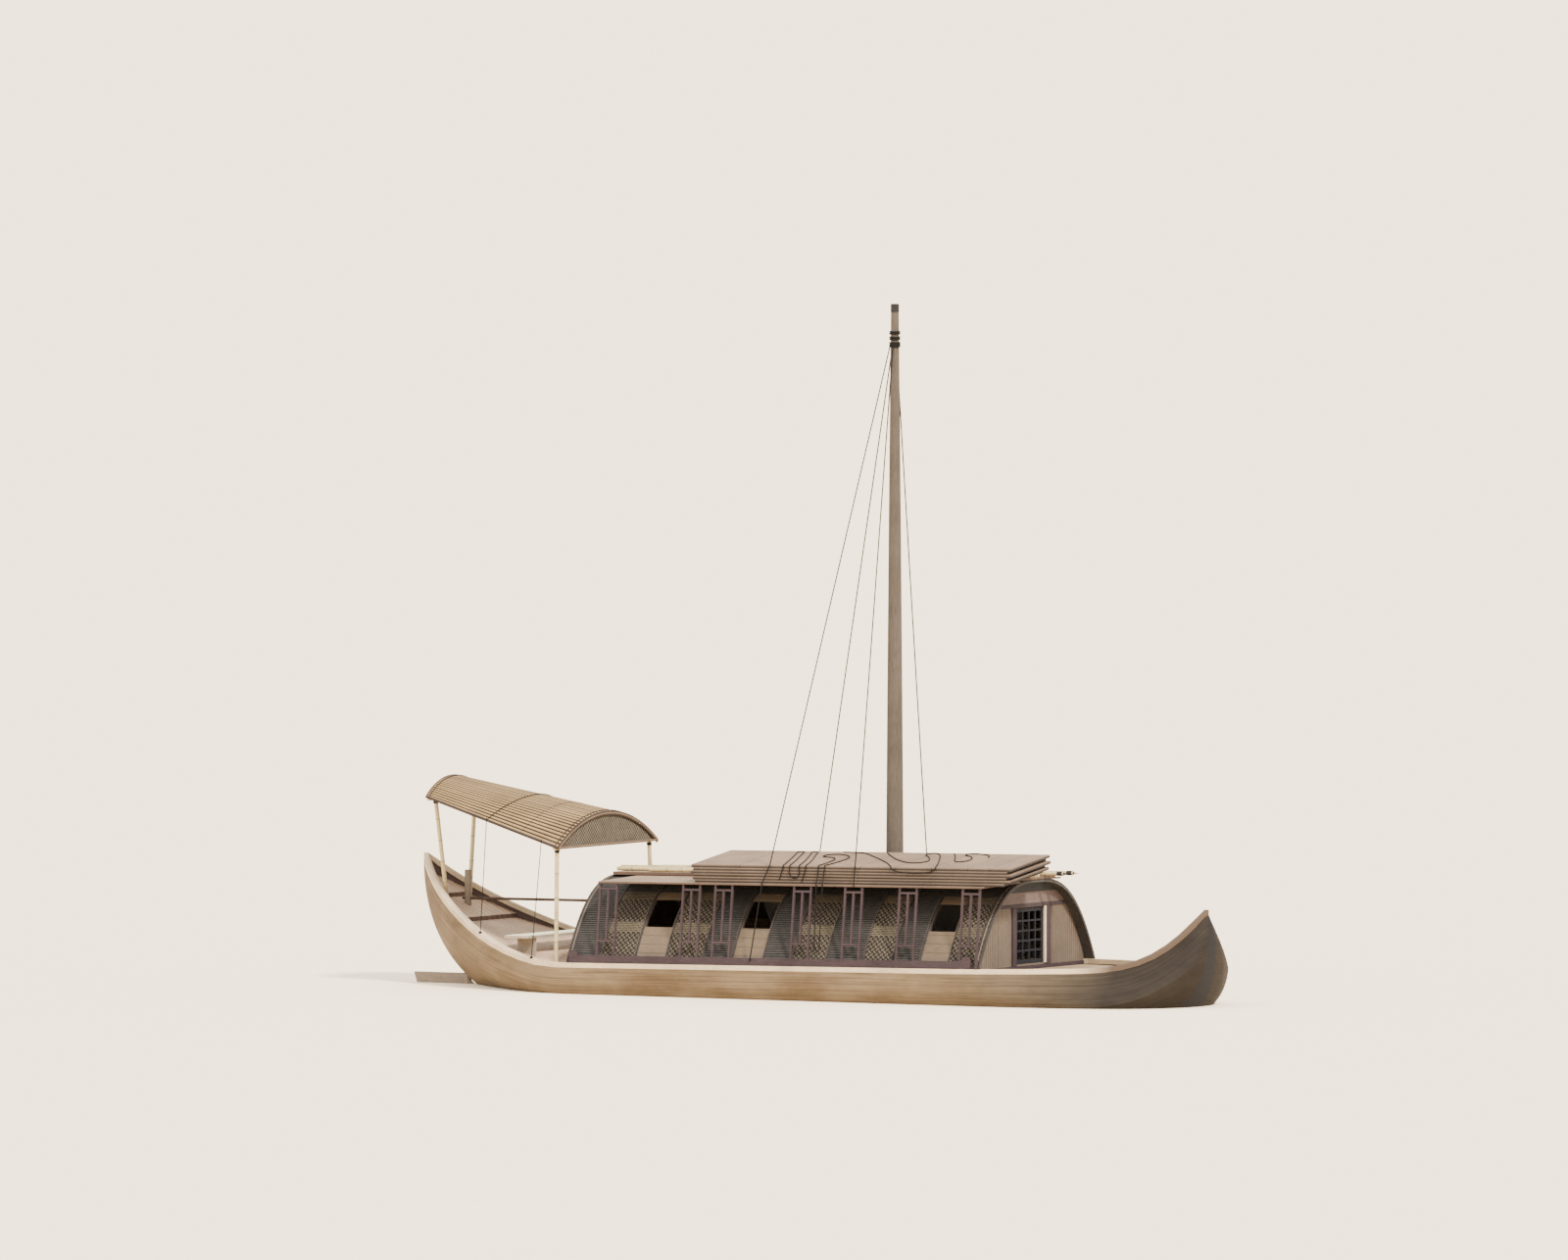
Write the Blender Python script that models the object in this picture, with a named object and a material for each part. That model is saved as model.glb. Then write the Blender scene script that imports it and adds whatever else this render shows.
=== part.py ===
"""Chinese river junk with a mat-vaulted cabin, a stern canopy and a stepped mast.

Full size in metres. X runs to the bow, Y to port and Z up. The origin is on the
centreline at the waterline, under the mast. The hull is a hollow planked shell, and the
house follows the rise of its gunwale from stern to bow.
"""
import math

import bmesh
import bpy
from mathutils import Matrix, Vector

# Clearance between pieces that touch
GAP = 0.0003

# Hull: ends of the stern and stem profiles, midship section, planking
STERN_TIP = (-10.13, 2.34)
STERN_HEEL = (-7.6, -0.42)
STEM_CURVE = ((5.5, -0.42), (6.85, -0.42), (7.0, 0.9), (6.67, 1.70))
HALF_BEAM = 2.27
RIM_Z = 0.565
KEEL_Z = -0.42
SHEER_RISE = 0.012
PLANK = 0.055
END_POST = 0.09
STERN_FULLNESS = 4.6
BOW_FULLNESS = 4.0
BOW_POWER_RIM = 1.35
BOW_POWER_FOOT = 2.35
BOW_POWER_SPAN = 0.3
STERN_SWEEP = 4.05
BOW_SWEEP = 2.3
STATIONS = 46
STRAKES = 9

# Gunwale covering board
CAP_HEIGHT = 0.09
CAP_INBOARD = 0.08
CAP_SEAT = 0.0008
DECK_LINE = RIM_Z + CAP_HEIGHT + 0.0012

# Decks
DECK_THICK = 0.04
FOREDECK_Z = 0.59
FOREDECK_HEADROOM = 0.006
CABIN_FLOOR_Z = 0.25
AFT_DECK_LINE = ((-5.66, 0.44), (-6.3, 0.46), (-7.0, 0.62), (-7.6, 0.80), (-8.77, 1.20))
MIDDLE_DECK_LINE = ((-8.772, 1.28), (-9.43, 1.62))
UPPER_DECK_LINE = ((-9.432, 1.70), (-9.95, 2.02))
STEP_APRON = 0.11

# House: mat vault over the hold
VAULT_AFT = -5.78
VAULT_FORE = 3.04
VAULT_HALF_WIDTH = 2.18
VAULT_RISE = 1.565
VAULT_THICK = 0.05
VAULT_SEGMENTS = 28
VAULT_POWER = 3.0
BULKHEAD_X = 2.80
BULKHEAD_PLAY = 0.048
BULKHEAD_THICK = 0.04
AFT_BULKHEAD_X = -5.60
WINDOW_SPANS = ((-4.30, -3.70), (-2.23, -1.62), (1.77, 2.33))
OPEN_WINDOW_SIDES = ("starboard",)
WINDOW_JAMB = 0.018
WINDOW_LOW = 1.32
WINDOW_HIGH = 1.80
WINDOW_HEAD = 1.94
WINDOW_FOOT = 0.78
WINDOW_PLAY = 0.0005
WINDOW_RECESS = 0.006

# Front doorway
DOOR_LEFT = -0.44
DOOR_RIGHT = 0.60
DOOR_SILL_Z = 0.66
DOOR_HEAD_Z = 1.70
DOOR_THICK = 0.03
DOOR_PLAY = 0.008
DOOR_COLUMNS = 4
DOOR_ROWS = 5
DOOR_BAR = 0.035
DOOR_STILE = 0.07

# Aft doorway, heights over the wall's foot
AFT_DOOR_HALF_WIDTH = 0.5
AFT_DOOR_SILL = 0.2
AFT_DOOR_HEAD = 1.15

# Racks outside the vault
RACK_FOOT_Y = 2.212
RACK_HEAD_Y = 2.05
RACK_THICK = 0.04
RACK_BAR = 0.04
SILL_HEIGHT = 0.14
RACK_TOP_Z = 2.13
FRAME_CENTRES = (-4.93, -3.15, -2.46, -0.78, 0.31, 1.47, 2.81)
FRAME_WIDTH = 0.40
FRAME_UPPER_BAR = 2.055
FRAME_LOWER_BAR = 1.05
SILL_AFT = -5.70
SCROLL_REACH = 0.09
SCROLL_RISE = 0.10
RACK_SIDES = {"starboard": (FRAME_CENTRES, 2.87), "port": (FRAME_CENTRES[:-1], 2.40)}

# Roof: shelves, ridge board, poles and the stack of loose boards
SHELF_AFT = -5.15
SHELF_FORE = {"starboard": 3.05, "port": 2.35}
SHELF_OUTER_Y = 2.09
SHELF_INNER_Y = 0.66
SHELF_THICK = 0.035
RIDGE_AFT = -5.66
RIDGE_FORE = 3.05
RIDGE_HALF_WIDTH = 0.659
RIDGE_THICK = 0.06
POLE_RADIUS = 0.042

# Share of a ten sided tube's radius at the middle of a flat
TUBE_FLAT = math.cos(math.pi / 10)

POLES = (
    ("pole_1", -0.60, -4.9, 3.35),
    ("pole_2", -0.33, -5.75, 3.25),
    ("pole_3", 0.24, -6.0, 3.46),
    ("pole_4", 0.38, -5.5, 3.15),
    ("pole_5", 0.53, -5.3, 3.50),
)
STACK_COUNT = 6
STACK_THICK = 0.055
STACK_OUTER_Y = -2.0
STACK_INNER_Y = -0.52
STACK_ENDS = ((-3.12, 3.46), (-3.17, 3.58), (-3.15, 3.50), (-3.2, 3.62), (-3.16, 3.52), (-3.2, 3.6))

# Mast and stays
MAST_STEP_HALF = (0.32, 0.30)
MAST_STEP_HEIGHT = 0.18
MAST_FOOT_RADIUS = 0.175
MAST_ROOF_RADIUS = 0.165
ROOF_HOLE_PLAY = 0.015
RIDGE_HOLE_PLAY = 0.012
MAST_TAPER = ((MAST_ROOF_RADIUS, 2.2), (0.142, 5.5), (0.112, 9.0), (0.072, 12.85))
MAST_SIDES = 20
STAY_Z = 12.1
STAY_RADIUS = 0.012

# Loose ropes on the roof
ROPE_RADIUS = 0.010
ROPE_PITCH = 0.1
EAVE_HANG_Y = -2.1045

# Bend of a rope over the stack's near edge: distance inboard, height over the edge
EDGE_BEND = ((0.10, 0.0245), (0.0223, 0.0197), (-0.0074, 0.0074), (-0.0197, -0.0223))
EDGE_HANG = -0.0205

# Canopy over the stern
CANOPY_FORE = (-6.155, 2.68, 1.84, 0.60)
CANOPY_AFT = (-9.50, 3.52, 0.98, 0.36)
CANOPY_THICK = 0.045
CANOPY_SEGMENTS = 20
CANOPY_END_DEPTH = 0.03
CANOPY_END_PLAY = 0.0008
CANOPY_RIM_DEPTH = 0.05
POST_RADIUS = 0.042
RAIL_RADIUS = 0.028

# Share of a post's or tiller's length by which its socket reaches past its end
SOCKET_SHARE = 0.02

# Posts: end, share of the canopy's length, foot place, half width at the top
POSTS = (
    ("fore", 0.030, -6.22, 1.80, 0.463, 1.70),
    ("aft", 0.985, -9.385, 0.41, 1.556, 0.72),
)

# Rudder and tiller
STOCK_X = -9.175
STOCK_PLACE = (STOCK_X, 0)
STOCK_RADIUS = 0.065
STOCK_SIDES = 40
TRUNK_PLAY = 0.015
STOCK_HEAD_Z = 2.13
RUDDER_THICK = 0.06
BLADE = ((-10.33, 0.20), (-9.275, 0.20), (-9.175, 0.12), (-8.80, -0.27), (-8.80, -0.85), (-9.98, -0.85))
TILLER_Z = 1.60
TILLER_FORE = -6.60
TILLER_RADIUS = 0.027
TILLER_RISE = 0.02
TILLER_REACH = 0.11

# Helmsman's bench
BENCH_AFT = -7.45
BENCH_FORE = -6.95
BENCH_HALF_WIDTH = 1.60
BENCH_TOP_Z = 1.02
BENCH_THICK = 0.05
BENCH_LEG_INSET = 0.06
BENCH_LEG_Y = 1.2

# Colours: red, green, blue, roughness, metallic
FINISHES = {
    "hull_planking": (0.42, 0.28, 0.18, 0.75, 0.0),
    "gunwale_wood": (0.83, 0.68, 0.49, 0.65, 0.0),
    "deck_boards": (0.46, 0.33, 0.24, 0.75, 0.0),
    "mat": (0.05, 0.048, 0.04, 0.9, 0.0),
    "canopy_mat": (0.45, 0.30, 0.18, 0.85, 0.0),
    "frame_wood": (0.19, 0.115, 0.115, 0.6, 0.0),
    "window_boards": (0.52, 0.37, 0.27, 0.7, 0.0),
    "panel_wood": (0.42, 0.30, 0.23, 0.75, 0.0),
    "roof_boards": (0.50, 0.36, 0.26, 0.75, 0.0),
    "bamboo": (0.79, 0.64, 0.35, 0.5, 0.0),
    "mast_wood": (0.40, 0.26, 0.18, 0.65, 0.0),
    "rope": (0.04, 0.035, 0.03, 0.9, 0.0),
    "rudder_wood": (0.30, 0.20, 0.16, 0.8, 0.0),
    "dark_lattice": (0.04, 0.04, 0.045, 0.7, 0.0),
}


def clear_scene():
    """Remove every object of the open scene."""
    for obj in list(bpy.data.objects):
        bpy.data.objects.remove(obj, do_unlink=True)


def collection(name):
    """Make a collection under the scene."""
    made = bpy.data.collections.new(name)
    bpy.context.scene.collection.children.link(made)
    return made


def material(name):
    """Make or fetch the Principled material of a finish."""
    found = bpy.data.materials.get(name)
    if found:
        return found
    made = bpy.data.materials.new(name)
    made.use_nodes = True
    red, green, blue, rough, metal = FINISHES[name]
    shader = made.node_tree.nodes["Principled BSDF"]
    shader.inputs["Base Color"].default_value = (red, green, blue, 1.0)
    shader.inputs["Roughness"].default_value = rough
    shader.inputs["Metallic"].default_value = metal
    return made


def add(name, data, finish, group="chinese_river_junk"):
    """Make an object from a mesh or curve, with its finish, in a collection."""
    obj = bpy.data.objects.new(name, data)
    data.materials.clear()
    data.materials.append(material(finish))
    bpy.data.collections[group].objects.link(obj)
    return obj


def mesh_from(bm, name):
    """Turn a bmesh into a mesh with its faces pointing out."""
    bmesh.ops.recalc_face_normals(bm, faces=bm.faces)
    mesh = bpy.data.meshes.new(name)
    bm.to_mesh(mesh)
    bm.free()
    return mesh


def cutter(name, mesh):
    """Hide a mesh object as a tool for Booleans."""
    obj = add(name, mesh, "panel_wood", "cutters")
    obj.hide_render = True
    obj.display_type = "WIRE"
    return obj


def boolean(obj, tool, operation):
    """Add an exact Boolean to an object."""
    modifier = obj.modifiers.new(tool.name, "BOOLEAN")
    modifier.object = tool
    modifier.operation = operation
    modifier.solver = "EXACT"


def baked(obj):
    """Replace an object by its evaluated mesh, with curve caps welded."""
    depsgraph = bpy.context.evaluated_depsgraph_get()
    depsgraph.update()
    mesh = bpy.data.meshes.new_from_object(obj.evaluated_get(depsgraph))
    bm = bmesh.new()
    bm.from_mesh(mesh)
    bmesh.ops.remove_doubles(bm, verts=bm.verts, dist=0.00002)
    bmesh.ops.recalc_face_normals(bm, faces=bm.faces)
    bm.to_mesh(mesh)
    bm.free()
    mesh.transform(obj.matrix_world)
    return mesh


def box_mesh(name, low, high):
    """Box between two corners."""
    bm = bmesh.new()
    size = [b - a for a, b in zip(low, high)]
    centre = Vector([(a + b) / 2 for a, b in zip(low, high)])
    bmesh.ops.create_cube(bm, size=1.0, matrix=Matrix.Translation(centre) @ Matrix.Diagonal((*size, 1.0)))
    return mesh_from(bm, name)


def cylinder_mesh(name, place, low_z, high_z, radius, segments=20):
    """Upright cylinder at an (x, y) place."""
    bm = bmesh.new()
    centre = Vector((*place, (low_z + high_z) / 2))
    bmesh.ops.create_cone(
        bm,
        cap_ends=True,
        segments=segments,
        radius1=radius,
        radius2=radius,
        depth=high_z - low_z,
        matrix=Matrix.Translation(centre),
    )
    return mesh_from(bm, name)


def outline_mesh(name, loops, thickness, frame):
    """Flat board from closed 2D loops, the later ones holes, placed by a matrix."""
    curve = bpy.data.curves.new(name, "CURVE")
    curve.dimensions = "2D"
    curve.fill_mode = "BOTH"
    curve.extrude = thickness / 2
    for loop in loops:
        spline = curve.splines.new("POLY")
        spline.points.add(len(loop) - 1)
        for point, (u, v) in zip(spline.points, loop):
            point.co = (u, v, 0.0, 1.0)
        spline.use_cyclic_u = True
    obj = add(name + "_outline", curve, "panel_wood", "cutters")
    mesh = baked(obj)
    bpy.data.objects.remove(obj, do_unlink=True)
    mesh.name = name
    mesh.transform(frame)
    return mesh


def tube(name, points, radius, finish, resolution=3):
    """Rod or rope: a poly curve with a round bevel and filled caps."""
    curve = bpy.data.curves.new(name, "CURVE")
    curve.dimensions = "3D"
    curve.bevel_depth = radius
    curve.bevel_resolution = resolution
    curve.use_fill_caps = True
    spline = curve.splines.new("POLY")
    spline.points.add(len(points) - 1)
    for target, place in zip(spline.points, points):
        target.co = (*place, 1.0)
    return add(name, curve, finish)


def loft_mesh(name, rings):
    """Skin over rings that have the same number of points, with flat end caps."""
    bm = bmesh.new()
    rows = [[bm.verts.new(point) for point in ring] for ring in rings]
    count = len(rows[0])
    for near, far in zip(rows, rows[1:]):
        for i in range(count):
            j = (i + 1) % count
            bm.faces.new((near[i], near[j], far[j]))
            bm.faces.new((near[i], far[j], far[i]))
    bm.faces.new(rows[0])
    bm.faces.new(rows[-1])
    return mesh_from(bm, name)


def lerp(low, high, share):
    """Straight blend of two numbers."""
    return low + (high - low) * share


def stern_profile(t):
    """Stern end of a level curve: an elliptic sweep from the keel to the tip."""
    angle = t * math.pi / 2
    x = lerp(STERN_HEEL[0], STERN_TIP[0], math.sin(angle))
    z = lerp(STERN_HEEL[1], STERN_TIP[1], 1 - math.cos(angle) ** 0.94)
    return x, z


def stem_profile(t):
    """Bow end of a level curve: a Bezier stem that leans back to the tip."""
    weights = ((1 - t) ** 3, 3 * t * (1 - t) ** 2, 3 * t * t * (1 - t), t ** 3)
    x = sum(w * p[0] for w, p in zip(weights, STEM_CURVE))
    z = sum(w * p[1] for w, p in zip(weights, STEM_CURVE))
    return x, z


def hull_point(s, t, inset):
    """Port side of the hull: s from stern to bow, t from keel to rim, inset 1 on the inner skin."""
    stern_x, stern_z = stern_profile(t)
    stem_x, stem_z = stem_profile(t)
    lift = PLANK * inset * (1 - t)
    start = stern_x + END_POST * inset
    end = stem_x - END_POST * inset
    x = lerp(start, end, s)
    angle = t * math.pi / 2
    half = (HALF_BEAM - PLANK * inset) * math.sin(angle) ** (2 / 3)
    aft = x - start
    fore = end - x
    run = math.sin(math.pi / 2 * min(1.0, max(0.0, aft / STERN_FULLNESS))) ** 0.8
    power = lerp(BOW_POWER_RIM, BOW_POWER_FOOT, min(1.0, (1 - t) / BOW_POWER_SPAN))
    reach = 1 - min(1.0, max(0.0, fore / BOW_FULLNESS))
    entry = max(0.0, 1 - reach ** power) ** (1 / power)
    middle_z = RIM_Z - (RIM_Z - KEEL_Z) * math.cos(angle) ** (2 / 3) + SHEER_RISE * x * t
    back = max(0.0, 1 - aft / STERN_SWEEP)
    front = max(0.0, 1 - fore / BOW_SWEEP)
    dip_aft = 0.87 * back ** 1.6 + 0.13 * back ** 8
    z = middle_z + (stern_z - middle_z) * dip_aft + (stem_z - middle_z) * front ** 3.8 + lift
    return Vector((x, half * run * entry, z))


def station(i):
    """Share of the length at a station, closer together at the ends."""
    even = i / STATIONS
    return 0.65 * 0.5 * (1 - math.cos(math.pi * even)) + 0.35 * even


def level(j):
    """Share of the girth at a strake line."""
    return j / STRAKES


def skin_rows(bm, inset):
    """Vertices of one skin, as rows from the port rim under the keel to the starboard rim."""
    rows = []
    for i in range(STATIONS + 1):
        s = station(i)
        ends = i in (0, STATIONS)
        port = []
        for j in range(STRAKES + 1):
            point = hull_point(s, level(j), inset)
            if ends or j == 0:
                point.y = 0.0
            port.append(bm.verts.new(point))
        if ends:
            rows.append((port, port))
            continue
        starboard = [port[0]]
        starboard += [bm.verts.new((v.co.x, -v.co.y, v.co.z)) for v in port[1:]]
        rows.append((port, starboard))
    return rows


def fill_skin(bm, rows):
    """Faces between the stations of a skin, on both sides."""
    for near, far in zip(rows, rows[1:]):
        for side in (0, 1):
            for j in range(STRAKES):
                corners = [near[side][j], far[side][j], far[side][j + 1], near[side][j + 1]]
                bm.faces.new(list(dict.fromkeys(corners)))


def hull_mesh():
    """Hollow hull: outer and inner skins joined along the rim."""
    bm = bmesh.new()
    outer = skin_rows(bm, 0.0)
    inner = skin_rows(bm, 1.0)
    fill_skin(bm, outer)
    fill_skin(bm, inner)
    for i in range(STATIONS):
        for side in (0, 1):
            near_rim, far_rim = outer[i][side][-1], outer[i + 1][side][-1]
            near_edge, far_edge = inner[i][side][-1], inner[i + 1][side][-1]
            bm.faces.new((near_rim, near_edge, far_edge))
            bm.faces.new((near_rim, far_edge, far_rim))
    bmesh.ops.triangulate(bm, faces=bm.faces)
    return mesh_from(bm, "hull")


def hold_mesh(name):
    """Room inside the hull, with the seating gap, closed along the rim."""
    bm = bmesh.new()
    rows = skin_rows(bm, 1.0 + 2 * GAP / PLANK)
    fill_skin(bm, rows)
    for near, far in zip(rows, rows[1:]):
        corners = [near[0][-1], far[0][-1], far[1][-1], near[1][-1]]
        bm.faces.new(list(dict.fromkeys(corners)))
    bmesh.ops.triangulate(bm, faces=bm.faces)
    return mesh_from(bm, name)


def side_frame(y):
    """Matrix that stands a 2D outline up in the XZ plane at a side, with its face along Y."""
    return Matrix.Translation((0, y, 0)) @ Matrix.Rotation(math.pi / 2, 4, "X")


def cross_frame(x):
    """Matrix that stands a 2D outline up across the boat, its u along Y and v along Z."""
    turn = Matrix(((0, 0, 1, 0), (1, 0, 0, 0), (0, 1, 0, 0), (0, 0, 0, 1)))
    return Matrix.Translation((x, 0, 0)) @ turn


def rise_with_sheer(mesh):
    """Shear a mesh of the house so that it follows the rise of the gunwale."""
    mesh.transform(Matrix(((1, 0, 0, 0), (0, 1, 0, 0), (SHEER_RISE, 0, 1, 0), (0, 0, 0, 1))))
    return mesh


def make_hull():
    """Hull shell with the rudder trunk through its run."""
    hull = add("hull", hull_mesh(), "hull_planking")
    trunk = cylinder_mesh("rudder_trunk", STOCK_PLACE, -0.6, 1.0, STOCK_RADIUS + TRUNK_PLAY)
    boolean(hull, cutter("rudder_trunk", trunk), "DIFFERENCE")


def make_gunwale(side_name, side):
    """Covering board along one rim, from the stern tip to the bow tip."""
    rings = []
    up = Vector((0, 0, CAP_HEIGHT))
    seat = Vector((0, 0, CAP_SEAT))
    for i in range(STATIONS + 1):
        outer = hull_point(station(i), 1.0, 0.0)
        rim = hull_point(station(i), 1.0, 1.0)
        edge = Vector((rim.x, rim.y - CAP_INBOARD, rim.z))
        line = [outer, rim, edge]
        for place, least in zip(line, (3 * GAP, 2 * GAP, GAP)):
            place.y = max(place.y, least) * side
        rings.append([p + seat for p in line] + [p + up for p in reversed(line)])
    add(f"gunwale_{side_name}", loft_mesh("gunwale", rings), "gunwale_wood")


def make_deck(name, line, apron):
    """Deck on a sloping line, with a board down its forward end, cut to the hull's inside."""
    fore_x, fore_z = line[0]
    top = list(line)
    under = [(x, z - DECK_THICK) for x, z in reversed(line)]
    inner_x = fore_x - math.copysign(DECK_THICK, line[0][0] - line[-1][0])
    under[-1:] = [(inner_x, fore_z - DECK_THICK), (inner_x, fore_z - apron), (fore_x, fore_z - apron)]
    mesh = outline_mesh(name, [top + under], 5.0, side_frame(0.0))
    deck = add(name, mesh, "deck_boards")
    boolean(deck, bpy.data.objects["hold_room"], "INTERSECT")
    return deck


def make_decks():
    """Foredeck, cabin floor and the three rising decks of the stern."""
    cutter("hold_room", hold_mesh("hold_room"))
    fore_line = ((BULKHEAD_X - 0.05, FOREDECK_Z), (6.2, FOREDECK_Z))
    foredeck = make_deck("foredeck", fore_line, FOREDECK_Z - CABIN_FLOOR_Z - 0.001)
    lowered = hold_mesh("hold_lowered")
    lowered.transform(Matrix.Translation((0, 0, -FOREDECK_HEADROOM)))
    boolean(foredeck, cutter("hold_lowered", lowered), "INTERSECT")
    low = (AFT_DECK_LINE[0][0], -2.5, CABIN_FLOOR_Z - DECK_THICK)
    high = (BULKHEAD_X - 0.012, 2.5, CABIN_FLOOR_Z)
    floor = add("cabin_floor", box_mesh("cabin_floor", low, high), "deck_boards")
    boolean(floor, bpy.data.objects["hold_room"], "INTERSECT")
    make_deck("aft_deck_lower", AFT_DECK_LINE, AFT_DECK_LINE[0][1] - CABIN_FLOOR_Z - 0.001)
    middle = make_deck("aft_deck_middle", MIDDLE_DECK_LINE, STEP_APRON)
    make_deck("aft_deck_upper", UPPER_DECK_LINE, STEP_APRON)
    hole = cylinder_mesh("stock_hole", STOCK_PLACE, 0.9, 2.4, STOCK_RADIUS + 2 * GAP, STOCK_SIDES)
    tool = cutter("stock_hole", hole)
    boolean(middle, tool, "DIFFERENCE")


def vault_point(angle, inset=0.0, base=0.0):
    """Point of the vault's arch: angle 0 at the port foot, pi at the starboard foot."""
    cos = math.cos(angle)
    y = cos * (VAULT_HALF_WIDTH - inset)
    z = DECK_LINE + GAP + base + (VAULT_RISE - inset) * (1 - abs(cos) ** VAULT_POWER)
    return y, z


def arch_loop(inset, outer_inset=0.0, segments=VAULT_SEGMENTS):
    """Closed outline of an arched shell between two insets of the vault."""
    angles = [math.pi * k / segments for k in range(segments + 1)]
    outer = [vault_point(a, outer_inset) for a in angles]
    inner = [vault_point(a, inset) for a in reversed(angles)]
    return outer + inner


def window_cutters():
    """Boxes through both sides of the vault where the window panels sit."""
    tools = []
    for number, (aft, fore) in enumerate(WINDOW_SPANS, 1):
        low = (aft, -2.6, WINDOW_FOOT)
        high = (fore, 2.6, WINDOW_HEAD)
        tools.append(cutter(f"window_gap_{number}", rise_with_sheer(box_mesh("gap", low, high))))
    return tools


def make_vault():
    """Mat vault over the hold, with its windows and the mast hole cut."""
    length = VAULT_FORE - VAULT_AFT
    middle = (VAULT_FORE + VAULT_AFT) / 2
    mesh = outline_mesh("cabin_vault", [arch_loop(VAULT_THICK)], length, cross_frame(middle))
    vault = add("cabin_vault", rise_with_sheer(mesh), "mat")
    for tool in window_cutters():
        boolean(vault, tool, "DIFFERENCE")
    hole = cylinder_mesh("mast_hole", (0, 0), 1.6, 2.6, MAST_ROOF_RADIUS + ROOF_HOLE_PLAY)
    boolean(vault, cutter("mast_hole", hole), "DIFFERENCE")


def make_window(number, aft, fore, side_name, side):
    """Boarded panel in a window gap, open in its middle: sill boards, jambs and head board."""
    length = fore - aft - 2 * WINDOW_PLAY
    loop = arch_loop(VAULT_THICK - WINDOW_RECESS, WINDOW_RECESS)
    mesh = outline_mesh("panel", [loop], length, cross_frame((aft + fore) / 2))
    name = f"window_{number}_{side_name}"
    panel = add(name, mesh, "window_boards")
    reach = sorted((side * 0.9, side * 2.6))
    low = (aft - 0.1, reach[0], WINDOW_FOOT + WINDOW_PLAY)
    high = (fore + 0.1, reach[1], WINDOW_HEAD - WINDOW_PLAY)
    boolean(panel, cutter(name + "_trim", box_mesh("trim", low, high)), "INTERSECT")
    if side_name in OPEN_WINDOW_SIDES:
        low = (aft + WINDOW_JAMB, reach[0], WINDOW_LOW)
        high = (fore - WINDOW_JAMB, reach[1], WINDOW_HIGH)
        boolean(panel, cutter(name + "_light", box_mesh("light", low, high)), "DIFFERENCE")
    mesh = rise_with_sheer(baked(panel))
    bpy.data.objects.remove(panel, do_unlink=True)
    add(name, mesh, "window_boards")


def bulkhead_loop(foot_z):
    """Outline of a wall between the gunwales and up the vault's inside."""
    count = VAULT_SEGMENTS
    sill_z = DECK_LINE + GAP
    points = [vault_point(math.pi * k / count, VAULT_THICK + 2 * GAP) for k in range(count + 1)]
    kept = [(y, z) for y, z in points if z > sill_z]
    edge = kept[0][0]
    inner = HALF_BEAM - PLANK - CAP_INBOARD - BULKHEAD_PLAY
    port = [(inner, foot_z), (inner, sill_z), (edge, sill_z)]
    return port + kept + [(-y, z) for y, z in reversed(port)]


def make_front_bulkhead():
    """Planked front wall, recessed under the vault's rim, with the doorway cut."""
    doorway = [(DOOR_LEFT, DOOR_SILL_Z), (DOOR_RIGHT, DOOR_SILL_Z), (DOOR_RIGHT, DOOR_HEAD_Z),
               (DOOR_LEFT, DOOR_HEAD_Z)]
    loops = [bulkhead_loop(FOREDECK_Z + 2 * GAP - roof_rise(BULKHEAD_X)), doorway]
    wall = outline_mesh("front_bulkhead", loops, BULKHEAD_THICK, cross_frame(BULKHEAD_X))
    add("front_bulkhead", rise_with_sheer(wall), "panel_wood")


def make_aft_bulkhead():
    """Aft wall of the cabin with a low doorway to the stern."""
    foot = AFT_DECK_LINE[0][1] + 2 * GAP - roof_rise(AFT_BULKHEAD_X)
    low = foot + AFT_DOOR_SILL
    high = foot + AFT_DOOR_HEAD
    half = AFT_DOOR_HALF_WIDTH
    doorway = [(-half, low), (half, low), (half, high), (-half, high)]
    wall = outline_mesh("aft_bulkhead", [bulkhead_loop(foot), doorway], BULKHEAD_THICK,
                        cross_frame(AFT_BULKHEAD_X))
    add("aft_bulkhead", rise_with_sheer(wall), "panel_wood")


def make_front_door():
    """Lattice door: stiles and rails round four columns of five openings."""
    low_y = DOOR_LEFT + DOOR_PLAY
    high_y = DOOR_RIGHT - 3 * GAP
    low_z = DOOR_SILL_Z + DOOR_PLAY
    high_z = DOOR_HEAD_Z - DOOR_PLAY
    frame = [(low_y, low_z), (high_y, low_z), (high_y, high_z), (low_y, high_z)]
    loops = [frame]
    wide = (high_y - low_y - 2 * DOOR_STILE + DOOR_BAR) / DOOR_COLUMNS
    tall = (high_z - low_z - 2 * DOOR_STILE + DOOR_BAR) / DOOR_ROWS
    for column in range(DOOR_COLUMNS):
        for row in range(DOOR_ROWS):
            y = low_y + DOOR_STILE + column * wide
            z = low_z + DOOR_STILE + row * tall
            right = y + wide - DOOR_BAR
            head = z + tall - DOOR_BAR
            loops.append([(y, z), (right, z), (right, head), (y, head)])
    mesh = outline_mesh("front_door", loops, DOOR_THICK, cross_frame(BULKHEAD_X))
    add("front_door", rise_with_sheer(mesh), "dark_lattice")


def scroll(x, base, outward):
    """Raised round end of a sill board, as points from the board's top to its end."""
    points = []
    for k in range(7):
        angle = math.pi * k / 6
        points.append((x - outward * SCROLL_REACH * math.cos(angle), base + SCROLL_RISE * math.sin(angle)))
    return points


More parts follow.
